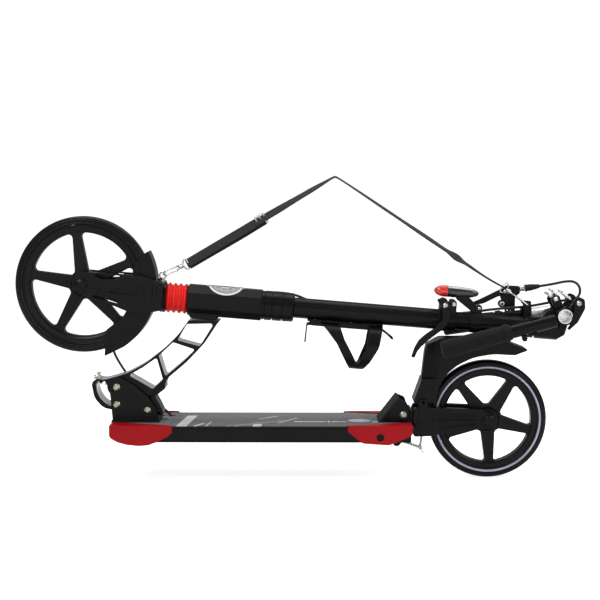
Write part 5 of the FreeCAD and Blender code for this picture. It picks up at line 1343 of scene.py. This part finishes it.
# rear end: wedge bracket, swing arms, mudguard, springs
rear = {
    "wedgeCheek": ((132, 97), (164, 138, 3), (179, 132, 6), (183, 119, 8), (183, 97)),
    "wedgeSlope": ((130.5, 97), (163.4, 139.2, 1), (168, 137), (138, 97)),
    "wedgeBack": ((184.4, 84), (188.4, 84), (188.4, 118, 2), (184.4, 118, 2)), "wedgeBolt": (173, 111),
    "pivot": (196, 95), "cap": ((0, 0), (0, 10.6, 0.6), (2.4, 10.6, 1), (4.4, 6.4, 2), (4.4, 0)),
    "lug": ((185, 85), (196, 85, 7), (206, 87, 8), (206, 103, 8), (196, 105, 7), (185, 105)),
    "arm": ((190, 73, 5), (191.5, 121, 5), (206, 123, 6), (303, 119, 16), (325, 110, 10), (330, 100, 12),
            (324, 88, 10), (309, 87, 14), (247, 79, 40), (218, 74, 10)),
    "armInner": 19, "armOuter": 32,
    "ribs": (((232, 108, 1.5), (292, 107, 1.5), (292, 109.5, 1), (232, 112, 1)),
             ((226, 100, 1.5), (296, 99.4, 1.5), (296, 102, 1), (226, 103.4, 1)),
             ((230, 84, 1.5), (294, 92, 1.5), (294, 95, 1), (230, 88, 1))),
    "boss": ((188.5, 78, 4), (190, 118, 6), (204, 119, 8), (224, 108, 8), (224, 86, 8), (210, 76, 8)),
    "guard": ((190, 129, 3), (205, 171, 30), (210, 214, 10), (213, 227, 6), (236, 238, 10), (262, 238, 30),
              (296, 239.5, 60), (347, 233, 30), (384, 219, 2), (360, 210, 12), (324, 212, 60), (290, 206, 60),
              (264, 193, 40), (246, 178, 30), (232, 152, 20), (229, 129, 4)),
    "guardInside": ((194, 123), (209, 171, 30), (213.5, 212, 10), (216.5, 225, 6), (236, 234.5, 10),
                    (262, 234.5, 30), (296, 236, 60), (345, 229.5, 30), (366, 220, 2), (366, 190), (324, 190),
                    (290, 180), (250, 130), (236, 118)),
    "guardHalf": 26, "guardPivot": (207, 131),
    "guardNose": ((177, -11), (209, -11), (233, -27), (177, -27)),
    "guardNoseWall": ((170, -8), (210, -8), (240, -28), (240, -32), (170, -32)),
    "guardGrooves": (((221, 148, 3), (235, 196, 20), (245, 214, 3), (240, 216, 3), (228, 197, 20), (215, 149, 3)),
                     ((208, 140, 3), (213, 168, 8), (219, 190, 3), (215, 192, 3), (207, 168, 8), (203, 141, 3))),
}


def makeWedge():
    cheek = cutWith(softPlate(rear["wedgeCheek"], 29, 34, 1), drill(rear["wedgeBolt"], 3.1, 24, 0))
    slope = softPlate(rear["wedgeSlope"], -34, 34, 1.2)
    back = softPlate(rear["wedgeBack"], -33, 33, 0.8, 2)
    tie = plate(box(170, 97, 186, 101), -33, 33)
    lugs = [softenEdges(cutWith(plate(rear["lug"], side * 9, side * 18.4), drill(rear["pivot"], 5)), 0.8, 2)
            for side in (-1, 1)]
    complete(slope, scooterFrame, "wedgeCover", "deck", "damper", ("rear_bracket",))
    complete(joined(cheek, mirrored(cheek), back, tie, *lugs), scooterFrame, "wedgeBracket", "deck", "steelPaint",
             ("rear_bracket",))


def makeArms():
    inner, outer, axle, (px, pz) = rear["armInner"], rear["armOuter"], layout["rearAxle"], rear["guardPivot"]
    tip = [(20, 4.1), (20, 14, 1), (outer, 14, 2), (outer + 0.6, 11.6, 0.6), (outer + 0.6, 4.1)]
    ear = ((px - 9, 116), (px - 8, pz + 5, 5), (px + 8, pz + 5, 5), (px + 9, 116))
    for side, name in ((-1, "left"), (1, "right")):
        arm = plate(rear["arm"], side * inner, side * (outer - 1.4))
        boss = softPlate(rear["boss"], side * 24, side * outer, 1.4)
        end = placeAt(turned(tip, 48), sideways(*axle, 0, side))
        cutWith(arm, drill(rear["pivot"], 5), drill(axle, 4.1))
        parts = [softenEdges(arm, 2.2, 4), boss, end]
        parts += [softPlate(rib, side * 28, side * (outer + 0.6), 1.0) for rib in rear["ribs"]]
        parts.append(softPlate(ear, side * 26.5, side * outer, 1))
        if side < 0:
            parts.append(softPlate(box(207, 104, 215, 121), -20, 18.8, 1, 2))
        complete(joined(*parts), scooterFrame, name + "SwingArm", "swing_arm", "plastic", (name + "_arm",))
        place = scooterFrame @ sideways(*axle, side * (outer + 0.4), side)
        complete(turned(rear["cap"], 48), place, name + "AxleCap", "swing_arm", "plastic",
                 ("rear_axle",) if side > 0 else ())
    complete(pin(axle, -32, 32, 4), scooterFrame, "rearAxleShaft", "swing_arm", "dullSteel")


def makeRearGuard():
    half = rear["guardHalf"]
    guard = softenEdges(plate(rear["guard"], -half, half), 3.0, 4, 40)
    hollow = plate(rear["guardInside"], 3 - half, half - 3)
    for side in (-1, 1):
        cutWith(hollow, placeAt(plate([(x, z * -side) for x, z in rear["guardNoseWall"]], -260, -166), flatDown))
    cutWith(guard, hollow, drill(layout["rearAxle"], 106, 128, -19, 19))
    for side in (-1, 1):
        cutWith(guard, placeAt(plate([(x, z * -side) for x, z in rear["guardNose"]], -250, -170), flatDown))
        for groove in rear["guardGrooves"]:
            cutWith(guard, plate(groove, side * (half - 1.3), side * 60))
    eyes = [pin(rear["guardPivot"], y, y + 3, 6, 0.4, 2.6, 48) for y in (-half, half - 3)]
    complete(joined(guard, *eyes), scooterFrame, "rearMudguard", "rear_fender", "plastic", ("rear_fender",), 28)


makeWedge()
makeArms()
makeRearGuard()

# brake spring: a real coil round the wire that pulls the shoe's arm
coil = {
    "start": (176, 59), "end": (200, 50.8), "radius": 2.7, "wire": 0.65, "turns": 8, "parts": 10,
    "pull": ((156, 0, 66), (170, 0, 61), (200, 0, 50.8), (208, 0, 48.4)),
    "tail": ((202, 2, 51), (206, 2, 46), (209, 2, 41), (212, 2, 38.5)),
}


def makeCoil():
    (x0, z0), (x1, z1), radius, parts = coil["start"], coil["end"], coil["radius"], coil["parts"]
    length, steps = hypot(x1 - x0, z1 - z0), coil["turns"] * parts
    points = [(length * i / steps, radius * cos(2 * pi * i / parts), radius * sin(2 * pi * i / parts))
              for i in range(steps + 1)]
    start, end = (x0, 0, z0), (x1, 0, z1)
    spring = placeAt(wire(points, coil["wire"]), alongLine(start, end))
    whole = joined(spring, wire(coil["pull"], 0.8), wire(coil["tail"], 0.7))
    complete(whole, scooterFrame, "brakeSpring", None, "dullSteel", ("brake_spring",))
    tuple(inScooter(start))
    tuple(inScooter(end))
    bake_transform(whole)


makeCoil()
print("rear end done")

bpy.ops.object.select_all(action="DESELECT")
bpy.ops.mesh.primitive_plane_add(size=40, location=(0, 0, -0.0003))
floor = bpy.context.object
floor.name = "floor"
floorFinish = Finish("paleFloor", Roughness=0.85, Base_Color=(0.8, 0.8, 0.8))
seen = floorFinish.node("ShaderNodeLightPath", out="Is Camera Ray")
glossy = floorFinish.node("ShaderNodeLightPath", out="Is Glossy Ray")
floorFinish.set(Emission_Color=(1.0, 1.0, 1.0), Emission_Strength=seen * 0.8 + glossy * 0.12)
floor.data.materials.append(floorFinish.material)

world = bpy.data.worlds.new("studio")
bpy.context.scene.world = world
world.use_nodes = True
sky = world.node_tree.nodes["Background"]
path = world.node_tree.nodes.new("ShaderNodeLightPath")
asSeen = Value(world.node_tree, path.outputs["Is Camera Ray"]) * (1 - studio["ambient"]) + studio["ambient"]
sky.inputs["Color"].default_value = (1, 1, 1, 1)
world.node_tree.links.new(asSeen.socket, sky.inputs["Strength"])
print("studio: %d lamps" % len(studio["lamps"]))
